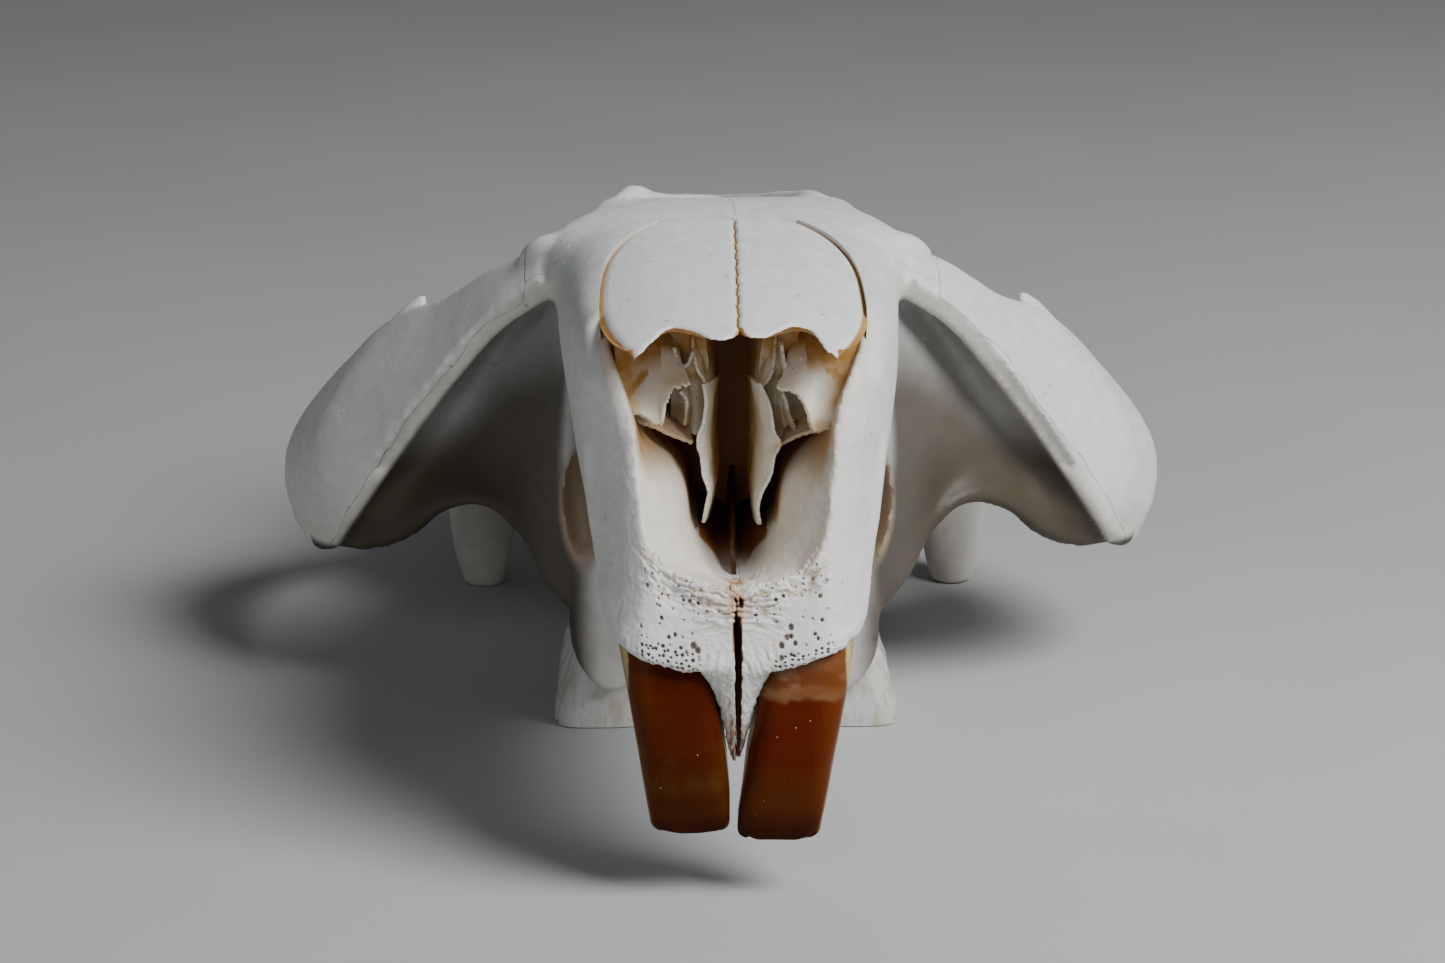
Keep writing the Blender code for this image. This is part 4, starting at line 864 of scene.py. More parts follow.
# Each sheet: thickness, raggedness, and rows of points as x, y and z, the first its free edge
SHEETS = {
    "right": (
        ("upper", 0.34, 0.34, (
            ((11.1, 9.4, 7.6, 6.9, 5.8, 4), (10.5, 10.6, 11, 11.6, 12.4, 13),
             (45.9, 44.6, 43.9, 45.8, 47.4, 47.8)),
            ((11.6, 9.8, 8.2, 7.3, 6.2, 4.6), (12.4, 12.9, 13.2, 13.6, 14, 14.2),
             (47.7, 46.8, 46.4, 47.6, 48.4, 48.6)),
            ((12.1, 10.4, 8.8, 7.8, 6.6, 5.2), (14.2, 14.8, 15.4, 15.8, 16, 16),
             (50.1, 50.2, 50.3, 50.4, 50.4, 50.2)),
            ((12, 10.6, 9.2, 8, 6.8, 5.6), (16, 17, 18, 18.6, 19, 19),
             (52.6, 53.2, 53.4, 53.6, 53.6, 53.6)))),
        ("shelf", 0.36, 0.22, (
            ((10.6, 8.4, 6.2, 4.6), (13, 13.4, 14.4, 15.4), (44.4, 43.6, 42.6, 41.6)),
            ((10.8, 8.6, 6.4, 5), (17, 17.4, 18, 18.4), (45.2, 44.4, 43.2, 42.2)),
            ((11, 9, 7, 5.6), 24, (46, 45.4, 44.6, 43.6)))),
        ("panel", 0.3, 0.2, (
            ((5, 5.6, 6.8, 7.8), (16.4, 17.2, 18.2, 18.6), (43, 43.2, 43.6, 44.2)),
            ((4.6, 5.4, 6.6, 7.6), (16.6, 17.6, 18.8, 19.2), (45, 45.2, 45.6, 46)),
            ((4.4, 5.2, 6.4, 7.4), (17, 18, 19.4, 19.8), (47.6, 48, 48.4, 48.8)))),
        ("hook", 0.28, 0.3, (
            ((4.6, 4.9, 5.4, 6, 6.6), (14.6, 14.6, 14.8, 15, 15.4), (51.6, 49.6, 48.6, 48.9, 50.4)),
            ((4.4, 4.6, 5.4, 6.3, 7), (17, 17, 17.2, 17.4, 17.6), (51.8, 49.4, 48.2, 48.6, 50.4)),
            ((4.2, 4.4, 5.4, 6.6, 7.4), 21, (52.2, 49.2, 47.8, 48.4, 50.4)))),
        ("curtain", 0.28, 0.26, (
            ((4.1, 3.9, 3.5, 2.6), (16.2, 16.2, 16.2, 16.4), (53, 50.4, 48.4, 46.9)),
            ((3.3, 3.1, 2.7, 2.1), (19, 19, 19, 19.2), (53.2, 50.4, 48, 46.2)),
            ((2, 1.9, 1.8, 1.7), 26, (53.6, 50, 47.4, 45.6)))),
        ("leaf", 0.3, 0.2, (
            ((2.5, 3.4, 3.9, 4.5, 3.9, 3.6, 2.8, 2.4, 2.6),
             (14.4, 14.2, 14, 13.8, 14, 14, 14.2, 14.6, 15.2),
             (47.9, 45.6, 43.2, 42, 40.6, 39, 37.2, 35.4, 33.6)),
            ((2.1, 2.7, 3, 3.2, 3, 2.8, 2.4, 2.2, 2.4), (17.6, 17.4, 17.2, 17, 17.2, 17.4, 17.6, 18, 18.6),
             (47.4, 45, 42.8, 41.4, 40, 38.2, 36.4, 34.6, 32.8)),
            ((1.6, 1.7, 1.8, 1.8, 1.8, 1.7, 1.7, 1.9, 2.2), 25,
             (46.4, 44.2, 42, 40.2, 38.8, 37.2, 35.4, 33.6, 31.8)))),
        ("spine", 0.26, 0.2, (
            ((4.7, 5.1, 5.5, 6.1), (15, 15.2, 15.4, 15.6), (46.6, 45.6, 44.2, 42.9)),
            ((4.4, 4.8, 5.2, 5.8), (16, 16.2, 16.4, 16.6), (46.8, 45.6, 44, 42.6)),
            ((4.2, 4.6, 4.9, 5.4), (18, 18.2, 18.4, 18.6), (47, 45.6, 44, 42.4)))),
        ("screen", 0.3, 0.2, (
            ((6.6, 5.8, 5.2, 5.2, 5.4, 5.4), (16.8, 16.9, 17.8, 18.6, 18.6, 18.8),
             (53.2, 50.6, 48.4, 46.2, 44.2, 42)),
            ((4.6, 4.4, 4.2, 4.2, 4.5, 4.7), (16.4, 16.5, 17.4, 18, 18, 18.2),
             (53.2, 50.8, 48.6, 46.2, 44, 41.6)),
            ((3, 2.8, 2.6, 2.9, 3.3, 3.6), (17.4, 17.6, 18.6, 19.4, 19.4, 19.6),
             (53.2, 50.8, 48.6, 46.2, 43.8, 41.2)))),
        # A back wall deep in the nose, which the marks paint deep brown as painted shade
        ("rear", 0.3, 0, (
            ((8.6, 9.8, 8.4, 5, 3.4), 31, (53.2, 49, 44, 38.6, 33)),
            ((4, 4.6, 4, 2.4, 1.8), 31, (53.4, 49, 44, 38.6, 32)),
            ((-0.3, -0.3, -0.3, -0.3, -0.3), 31, (53.4, 49, 44, 38.6, 31)))),
    ),
    "left": (
        ("upper", 0.34, 0.34, (
            ((10.2, 8.6, 7, 6.6, 5.8, 4.2), (10.8, 11, 11.2, 11.8, 12.6, 13),
             (46.5, 45.4, 44.7, 46.6, 47.8, 48.2)),
            ((10.8, 9, 7.6, 6.9, 6, 4.6), (12.6, 13, 13.2, 13.8, 14.2, 14.4),
             (48.1, 47.4, 46.9, 48, 48.9, 49)),
            ((11.4, 9.6, 8.2, 7.3, 6.3, 5.2), (14.4, 15, 15.4, 15.8, 16, 16),
             (50.3, 50.4, 50.5, 50.6, 50.6, 50.4)),
            ((11.4, 10, 8.8, 7.7, 6.6, 5.6), (16.2, 17, 18, 18.6, 19, 19),
             (52.6, 53.2, 53.4, 53.6, 53.6, 53.6)))),
        ("shelf", 0.36, 0.22, (
            ((9.8, 7.6, 5.6, 4), (13.4, 13.8, 14.8, 15.8), (44.6, 43.7, 42.6, 41.6)),
            ((10, 7.8, 5.9, 4.4), (17, 17.4, 18, 18.4), (45.4, 44.5, 43.3, 42.3)),
            ((10.4, 8.4, 6.4, 5), 24, (46.2, 45.5, 44.7, 43.7)))),
        ("panel", 0.3, 0.16, (
            ((4.6, 5.1, 5.6, 6), (17.4, 17.8, 18.2, 18.4), (43.2, 43.2, 43.4, 43.6)),
            ((4.5, 5, 5.5, 6), (17.8, 18.2, 18.6, 18.8), (45, 45.2, 45.4, 45.6)),
            ((4.5, 5, 5.6, 6), (18.2, 18.6, 19, 19.2), (46.8, 47.2, 47.6, 48)))),
        ("hook", 0.28, 0.3, (
            ((5.7, 5.4, 4.9, 4.3, 3.9), (15.4, 15, 14.8, 15, 15.2), (51.2, 49.8, 49.5, 49.7, 50.8)),
            ((5.9, 5.5, 4.9, 4.2, 3.8), (17.4, 17.2, 17.2, 17.2, 17.4), (51.2, 49.4, 48.9, 49.3, 51)),
            ((6.2, 5.7, 4.9, 4, 3.6), 21, (51.2, 49, 48.4, 48.9, 51.4)))),
        ("curtain", 0.28, 0.26, (
            ((4, 3.9, 3.6, 2.8), (16.2, 16.2, 16.2, 16.4), (53, 50.6, 48.9, 47.5)),
            ((3.2, 3, 2.6, 2), (19, 19, 19, 19.2), (53.2, 50.6, 48.4, 46.8)),
            ((1.7, 1.6, 1.5, 1.4), 26, (53.6, 50.2, 47.8, 46)))),
        ("leaf", 0.3, 0.2, (
            ((2.9, 2.7, 3, 3.6, 3.1, 2.9, 2.4, 2.8, 3), (14.4, 14.2, 14, 13.8, 14, 14, 14.2, 14.6, 15.2),
             (47.8, 45.7, 43.8, 42.1, 40.4, 38.9, 37.1, 35.4, 33.8)),
            ((2.2, 2.3, 2.6, 2.8, 2.6, 2.5, 2.2, 2.4, 2.7),
             (17.6, 17.4, 17.2, 17, 17.2, 17.4, 17.6, 18, 18.6),
             (47.4, 45.2, 43.2, 41.6, 40, 38.4, 36.6, 34.8, 33.2)),
            ((1.3, 1.4, 1.5, 1.5, 1.5, 1.4, 1.5, 1.8, 2.2), 25,
             (46.4, 44.2, 42, 40.2, 38.8, 37.2, 35.4, 33.6, 32)))),
        ("spine", 0.26, 0.2, (
            ((5.2, 4.7, 4.5, 4.7), (15.4, 15.4, 15.6, 15.8), (46.8, 46.2, 45.2, 43.4)),
            ((5, 4.5, 4.3, 4.5), (16.6, 16.6, 16.6, 16.8), (46.9, 46.2, 45.2, 43.2)),
            ((4.8, 4.3, 4.1, 4.3), (18.6, 18.6, 18.6, 18.8), (47, 46.2, 45.2, 43)))),
        ("screen", 0.3, 0.2, (
            ((6.2, 5.6, 5, 4.7, 4.5, 4.3), (17, 17.1, 18, 18.8, 18.8, 19),
             (53.2, 50.8, 48.6, 46.4, 44.4, 42.2)),
            ((4.4, 4.2, 3.9, 3.7, 3.6, 3.6), (16.6, 16.7, 17.6, 18.2, 18.2, 18.4),
             (53.2, 51, 48.8, 46.4, 44.2, 41.8)),
            ((2.9, 2.7, 2.5, 2.6, 2.7, 2.8), (17.6, 17.8, 18.8, 19.6, 19.6, 19.8),
             (53.2, 51, 48.8, 46.4, 44, 41.4)))),
        # A back wall deep in the nose, which the marks paint deep brown as painted shade
        ("rear", 0.3, 0, (
            ((8.6, 9.8, 8.4, 5, 3.4), 31.5, (53.2, 49, 44, 38.6, 33)),
            ((4, 4.6, 4, 2.4, 1.8), 31.5, (53.4, 49, 44, 38.6, 32)),
            ((0, 0, 0, 0, 0), 31.5, (53.4, 49, 44, 38.6, 31)))),
    ),
}
# Height and top of the upright blade seated in the floor of the nose, from front to back
BLADE = ((13.4, 27.4, 30.2), (15, 27.4, 31), (18, 27.6, 32.4), (24, 28.4, 34.4), (30, 29, 35.6),
         (38, 29, 36.6))


def turbinate(side_name, side):
    """The scrolled sheets in one side of the nose, with their torn edges."""
    made = []
    for k, (name, thickness, ragged, rows) in enumerate(SHEETS[side_name]):
        rows = [mirrored(zip(*np.broadcast_arrays(*row)), side) for row in rows]
        made.append(flake(name, rows, thickness, ragged, 11 * k + (5 if side > 0 else 2)))
    return joined("turbinate", made)


def vomer():
    low = [(0.0, y, z) for y, z, _ in BLADE]
    mid = [(0.08 * math.sin(y), y, (z + top) / 2) for y, z, top in BLADE]
    high = [(0.12 * math.sin(y * 0.7), y, top) for y, _, top in BLADE]
    return flake("vomer", [high, mid, low], 0.42, 0.25, 3)


# Parting the skull at its sutures

def sheared(points, back=False):
    """Shifts points so that flat cuts made between the shift and its undoing come out wavy."""
    p = points.copy()
    steps = ((1, 0, 2, 0.45, 0.7, 21), (2, 0, 1, 0.4, 0.6, 31), (0, 1, 2, 0.22, 0.2, 41))
    for axis, a, b, fine, broad, seed in (reversed(steps) if back else steps):
        flat = np.stack([p[:, a], p[:, b], 0 * p[:, a]], axis=1)
        shift = fine * grain(flat, (1.5, 1.5, 1.0), seed) + broad * grain(flat, (5.0, 5.0, 1.0), seed + 1)
        if axis == 0:
            # The midline lies to the right at the brow
            shift = (shift - 0.7) * ease(9.0, 14.0, p[:, 1]) * (1 - ease(84.0, 104.0, p[:, 1]))
        p[:, axis] += -shift if back else shift
    return p


def part(obj, line, corners, axis, reach, gap):
    """Splits a body along a suture line: returns the piece within line and corners, and the rest."""
    low, high = reach
    inside = copy_of(obj, "inside")
    boolean(inside, [prism("block", list(line) + list(corners), axis, low, high)], "INTERSECT")
    shifted = [(a + gap[0], b + gap[1]) for a, b in line]
    block = prism("block", shifted + list(corners), axis, low - HAIRLINE, high + HAIRLINE)
    boolean(obj, [block], "DIFFERENCE")
    return inside, obj


# Suture lines: seen from the side as (y, z), or from the front as (x, z)
PREMAXILLA_LINE = ((30, 10), (31, 30), (34.5, 40), (41, 47), (47, 51), (51.5, 53.6), (52.4, 70))
LAMBDOID_LINE = ((119.4, 70), (118.4, 42), (115, 31), (112, 24), (106.5, 18), (104, 10), (104, -9))
CORONAL_LINE = ((50, 70), (50, 53), (56, 48.5), (60, 41), (66, 36), (78, 35), (85, 38), (88, 44),
    (89.5, 70))
TEMPORAL_LINE = ((80.0, 70.0), (84.0, 40.0), (92.0, 35.0), (104.0, 33.6), (119.0, 34.0), (125.0, 34.0))
JUGAL_LINE = ((22, 70), (22, 47.4), (26, 44.4), (33.6, 34.4), (38.4, 27), (42.2, 21), (44.2, 16.4),
    (44.6, -9))
PALATE_LINE = ((86, -9), (86, 90))
SPHENOID_LINE = ((12.4, -9), (12.4, 90))
MIDLINE = ((HAIRLINE / 2, -30), (HAIRLINE / 2, 90))
ACROSS = (-60, 60)
# In the order of parting: name, axis along which the line is seen, line, corners, reach and gap
CUTS = (
    ("occipital", "x", LAMBDOID_LINE, ((160, -9), (160, 70)), ACROSS, (-HAIRLINE, 0)),
    ("premaxilla", "x", PREMAXILLA_LINE, ((-20, 70), (-20, 10)), ACROSS, (HAIRLINE, 0)),
    ("jugal", "y", JUGAL_LINE, ((70, -9), (70, 70)), (45, 95), (-HAIRLINE, 0)),
    ("frontal", "x", CORONAL_LINE, (), ACROSS, (0, -HAIRLINE)),
    ("parietal", "x", TEMPORAL_LINE, ((125, 70),), ACROSS, (0, -HAIRLINE)),
    ("maxilla", "x", PALATE_LINE, ((-20, 90), (-20, -9)), ACROSS, (HAIRLINE, 0)),
    ("squamosal", "y", SPHENOID_LINE, ((70, 90), (70, -9)), (20, 160), (-HAIRLINE, 0)),
)

# The gap between the two premaxillae, seen from the front: z, and x of its left and right edges
MIDLINE_GAP = ((34, 0.2, 0.3), (32.4, 0.18, 0.32), (31.6, -0.32, -0.14), (30.9, -0.78, -0.6),
    (30.3, 0.14, 0.34), (29.6, 0.4, 0.62), (29, -0.34, -0.06), (28.4, -0.16, 0.3), (27.6, -0.3, 0.4),
    (26, -0.24, 0.46), (24, -0.2, 0.48), (21, -0.16, 0.46), (18, -0.1, 0.42), (10, -0.1, 0.42))
WEDGE_TOP_Z = 24.0
GAP_DEPTH = 5.6
WEDGE_GAP_DEPTH = 4.2


def bones():
    """The named bones: the softened skull, seated for its teeth and nose, parted at the sutures."""
    skull = half_sections("skull", CORE, 8, 7)
    pieces = []
    for side_name, side in SIDES:
        pieces += cheek_plate(side) + arch(side) + [brow_ridge(side_name, side)] + forms(side, HALF_FORMS)
    boolean(skull, pieces + forms(1.0, MIDDLE_FORMS), "UNION", "EXACT")
    keep_largest(skull)
    cutters = [front_cutter(), half_sections("cavity", CAVITY, 8, 6)]
    for _, side in SIDES:
        cutters += forms(side, HALF_OPENINGS)
    boolean(skull, cutters + forms(1.0, MIDDLE_OPENINGS) + [ground()], "DIFFERENCE", "EXACT")
    keep_largest(skull)
    soften(skull, VOXEL, SMOOTH_STEPS)
    weather(skull.data)
    seats = [ground()]
    for side_name, side in SIDES:
        seats += [incisor(side_name, side, SEAT_MARGIN), nasal(side_name, side, SEAT_MARGIN * 2),
                  bulla(side, SEAT_MARGIN)]
        seats += [tooth for _, tooth in cheek_teeth(side, SEAT_MARGIN)]
    boolean(skull, seats, "DIFFERENCE")
    set_points(skull.data, sheared(points_of(skull.data)))

    found = {}
    rest = skull
    for name, axis, line, corners, reach, gap in CUTS:
        if axis == "y":
            for side_name, side in SIDES:
                outline = ([(side * x, z) for x, z in points] for points in (line, corners))
                piece, rest = part(rest, *outline, axis, reach, (side * gap[0], gap[1]))
                found[name + "_" + side_name] = piece
            continue
        piece, rest = part(rest, line, corners, axis, reach, gap)
        if name == "occipital":
            found[name] = piece
        else:
            halves = part(piece, MIDLINE, ((90, 90), (90, -30)), "y", (-20, 160), (-HAIRLINE, 0))
            found[name + "_right"], found[name + "_left"] = halves
    found["sphenoid"] = rest
    for bone in found.values():
        keep_largest(bone)
        set_points(bone.data, sheared(points_of(bone.data), back=True))
    upper = [row for row in MIDLINE_GAP if row[0] >= WEDGE_TOP_Z]
    lower = [row for row in MIDLINE_GAP if row[0] <= WEDGE_TOP_Z]
    for side_name, _ in SIDES:
        bone = found["premaxilla_" + side_name]
        for rows, depth in ((upper, GAP_DEPTH), (lower, WEDGE_GAP_DEPTH)):
            outline = [(low, z) for z, low, _ in rows] + [(high, z) for z, _, high in rows[::-1]]
            boolean(bone, [prism("gap", outline, "y", -6.0, depth)], "DIFFERENCE")
        keep_largest(bone)
    return found


# Surface relief

def weather(mesh):
    """Low waves and scars over the whole skull."""
    points = points_of(mesh)
    x, y, z = points.T
    lift = 0.11 * grain(points, 9.0, 51) + 0.05 * grain(points, 3.2, 52)
    # Rough muscle scars on the nape and on the lower edges of the arches
    scars = ease(116.0, 121.0, y) * ease(9.0, 16.0, z)
    lift += scars * (0.16 * grain(points, (2.2, 2.2, 5.0), 53) + 0.06 * grain(points, 1.1, 54))
    lower = ease(33.0, 38.0, np.abs(x)) * fade(20.0, 24.0, z)
    lift += lower * 0.08 * grain(points, (1.6, 3.0, 1.2), 55)
    set_points(mesh, points + normals_of(mesh) * lift[:, None])


# Holes in the front of the premaxillae: x, z and radius
FORAMINA = ((-12.2, 43.4, 0.11), (-11.4, 42.6, 0.11), (-12.2, 39.5, 0.12), (-11.4, 37.6, 0.12),
    (-10.2, 36.8, 0.11), (-10, 34.5, 0.12), (-11.1, 33, 0.14), (-9.4, 33.2, 0.15), (-8.5, 31.3, 0.17),
    (-9.7, 30.9, 0.13), (-7.1, 30.6, 0.14), (-10.9, 29.7, 0.13), (-4.4, 29.9, 0.17), (-3.6, 29.7, 0.16),
    (-5, 30, 0.12), (-7.3, 29.5, 0.12), (-10.6, 27.7, 0.23), (-9.1, 27.6, 0.18), (-7.1, 28.4, 0.18),
    (-6.4, 26.7, 0.17), (-5.8, 26.9, 0.18), (-10.9, 26.6, 0.1), (-4.1, 25.9, 0.31), (-3.7, 25.5, 0.28),
    (13, 42.2, 0.12), (12.5, 38.5, 0.12), (11.6, 35.1, 0.13), (11.1, 33.9, 0.13), (9.4, 33, 0.15),
    (8.6, 31.6, 0.14), (9.8, 31.3, 0.18), (8, 30.3, 0.19), (4.4, 30.3, 0.17), (3.7, 30, 0.18),
    (3.5, 32.1, 0.12), (1.8, 28.6, 0.15), (5.1, 27.5, 0.28), (4.7, 26.6, 0.26), (5.1, 26.7, 0.21),
    (4.2, 25.9, 0.29), (5.5, 26.1, 0.21), (4.2, 24.8, 0.23), (5.1, 25.1, 0.15), (8.1, 28.1, 0.17),
    (10.6, 28.6, 0.14), (11.8, 27.6, 0.11), (10, 27.4, 0.15), (7.7, 26.5, 0.17), (7.4, 26.9, 0.16))
PORE_DEPTH = 0.42
CREASES_Z = 28.8
# Shallow hollows beside them: x, z, radius and depth
HOLLOWS = ((-6.2, 30.9, 1.3, 0.75), (6.5, 31.6, 1.3, 0.8), (-4.6, 29.8, 1.6, 0.3), (4.9, 30.4, 1.6, 0.25),
    (-7.6, 29.6, 2.6, 0.2), (7.6, 29.8, 2.6, 0.2))
# The lower lip of the opening, and the edge of the bone over the incisors, as |x| and z
LIP = ((9.6, 41.5), (9.3, 39.1), (9.0, 37.0), (8.3, 34.9), (6.8, 33.3), (4.2, 32.2), (2.2, 31.7), (0.4, 31.4))
SOCKET_EDGE = ((0.4, 15.4), (1.2, 19.4), (1.8, 21.4), (2.4, 22.6), (3.4, 23.2), (5.5, 23.5), (7.8, 23.9),
    (9.3, 24.7), (9.9, 25.7), (11.4, 26.1))
# The front of the opening, as z and y
MOUTH = ((24, -0.4), (31, 1.9), (34, 3.4), (39, 5.4), (44, 7.2), (48.6, 10), (51.6, 13.6), (53.4, 17.4))
# Lower edge of the painted shade of the dark hole at the back of the funnel, as |x| and z
SHADED_HOLE_FLOOR = ((0.0, 30.6), (1.1, 31.1), (2.1, 32.7), (3.3, 34.0), (3.5, 37.6), (4.5, 39.8), (6.0, 50.0))
# Painted shade: the dark crease in each upper sheet, from the wall inwards, as |x| and z
CREASES = {"left": ((10.1, 47.4), (8.5, 49.1)), "right": ((11.0, 48.5), (9.1, 49.1))}


def front_of_snout(p):
    return p[1] < 12.0 and 12.0 < p[2] < 47.0


def beyond_lip(ax, z):
    """How far each point lies outside the lip of the opening, and how far along it."""
    curve = smooth_path([(a, b, 0) for a, b in LIP], 4)
    nearest = np.full(len(ax), 99.0)
    along = np.zeros(len(ax))
    travelled = 0.0
    for start, end in zip(curve, curve[1:]):
        step = end - start
        t = np.clip(((ax - start.x) * step.x + (z - start.y) * step.y) / step.length_squared, 0, 1)
        away = np.hypot(ax - start.x - t * step.x, z - start.y - t * step.y)
        along = np.where(away < nearest, travelled + t * step.length, along)
        nearest = np.minimum(nearest, away)
        travelled += step.length
    return nearest, along


def along_x(x):
    """Points of a line, for noise that varies only across the skull."""
    return np.stack([x, 0 * x, 0 * x], axis=1)


def carve_front(mesh):
    """Wrinkles, hollows and holes on the bone above the incisors."""
    points = points_of(mesh)
    normals = normals_of(mesh)
    x, y, z = points.T
    ax = np.abs(x)
    zone = fade(10.0, 11.8, y) * band(12.5, 14.0, 44.0, 46.5, z)
    # Rough ridges that follow the lip below the opening of the nose
    away, along = beyond_lip(ax, z)
    within = y - lookup(MOUTH, z)
    ridged = ease(6.0, 9.5, along) * fade(1.8, 3.6, away) * (1 - 0.4 * fade(0.3, 1.2, ax))
    ridged *= fade(0.5, 1.6, within)
    away = away + 0.30 * grain(points, 0.9, 59)
    along = along + 0.7 * grain(points, 1.3, 60) + 9 * (x > 0)
    lines = grain(np.stack([away, along, 0 * x], axis=1), (0.25, 1.0, 1.0), 61)
    lift = ridged * (0.21 * lines + 0.10 * grain(points, 0.30, 62))
    groove = ridged * ease(0.2, 0.6, -lines)
    # Creases across the bone beside the midline
    creases = np.exp(-((z - CREASES_Z) / 1.9) ** 2) * fade(3.0, 6.0, ax)
    bend = z + 0.035 * ax ** 2 * np.sign(CREASES_Z - z) + 0.16 * grain(points, 0.8, 58)
    lines = grain(np.stack([x + 30 * (x > 0), 0 * x, bend], axis=1), (1.3, 1.0, 0.24), 63)
    lift += creases * (0.22 * lines + 0.10 * grain(points, (0.6, 0.6, 0.22), 64))
    groove = np.maximum(groove, 0.8 * creases * ease(0.2, 0.7, -lines))
    # Fibres down the wedge between the teeth
    wedge = fade(25.0, 27.5, z) * fade(4.0, 6.0, ax)
    slanted = np.stack([x + 0.32 * z * np.sign(x), y, z], axis=1)
    lift += wedge * (0.10 * grain(slanted, (0.30, 0.8, 1.0), 65) + 0.05 * grain(points, 0.3, 66))
    lift += 0.03 * grain(points, 0.55, 67) + 0.018 * grain(points, 0.26, 68)
    for cx, cz, radius, depth in HOLLOWS:
        lift -= depth * np.exp(-((x - cx) ** 2 + (z - cz) ** 2) / radius ** 2)
    # Honeycomb of small pores along the edge of the tooth sockets, and pinholes over the rest
    edge = lookup(SOCKET_EDGE, ax)
    reach = np.where(x < 0, 2.3, 2.0) + 0.5 * grain(points, 0.9, 70)
    near = fade(reach - 0.3, reach + 0.1, z - edge) * band(3.2, 3.9, 8.8, 10.2, ax)
    sparse = (1 - near) * ease(2.5, 4.0, ax) * np.maximum(fade(33.0, 37.0, z), 0.8 * ease(9.6, 10.4, ax))
    pitted = np.maximum(ridged, creases) * ease(1.2, 2.0, ax)
    pores = 0 * x
    # Where and how strongly, size and seed of the cells, radius by number, soft edge, and the share left out
    for share, size, seed, least, more, inner, outer, low, high in (
            (near, 0.55, 69, 0.15, 0.16, 0.07, 0.05, -2, -1),
            (0.55 * sparse, 1.15, 71, 0.05, 0.055, 0.03, 0.04, 0.5, 0.6),
            (0.75 * pitted, 0.75, 74, 0.05, 0.08, 0.03, 0.04, 0.45, 0.6)):
        gap, number = cells(x, z, size, seed)
        radius = least + more * number
        pores = np.maximum(pores, share * ease(low, high, number) * fade(radius - inner, radius + outer, gap))
    for cx, cz, radius in FORAMINA:
        pores = np.maximum(pores, fade(radius * 0.6, radius * 1.15, np.hypot(x - cx, (z - cz) * 0.85)))
    pores *= ease(0.0, 0.25, -normals[:, 1]) * zone * fade(0.3, 0.9, within)
    points = points + normals * (lift * zone - PORE_DEPTH * pores)[:, None]
    # The edge over the incisors is a little uneven
    margin = np.exp(-((z - edge) / 0.9) ** 2) * fade(3.0, 4.5, y) * ease(2.5, 3.5, ax)
    uneven = 0.16 * grain(along_x(x), (0.9, 1, 1), 72) + 0.08 * grain(along_x(x), (0.36, 1, 1), 73)
    points[:, 2] += margin * (uneven + 0.35 * ease(4.0, 6.0, x))
    set_points(mesh, points)
    add_mark(mesh, "pore", pores)
    return groove * zone


def nasal_edge(y):
    """How far from the middle the outer edge of the nasals is."""
    shares = np.linspace(0.0, 1.0, 101)
    return np.interp(nasal_share(y), shares, [nasal_half(t) for t in shares])


def highest(first, *others):
    """The greatest of several masks at each point."""
    for other in others:
        first = np.maximum(first, other)
    return first


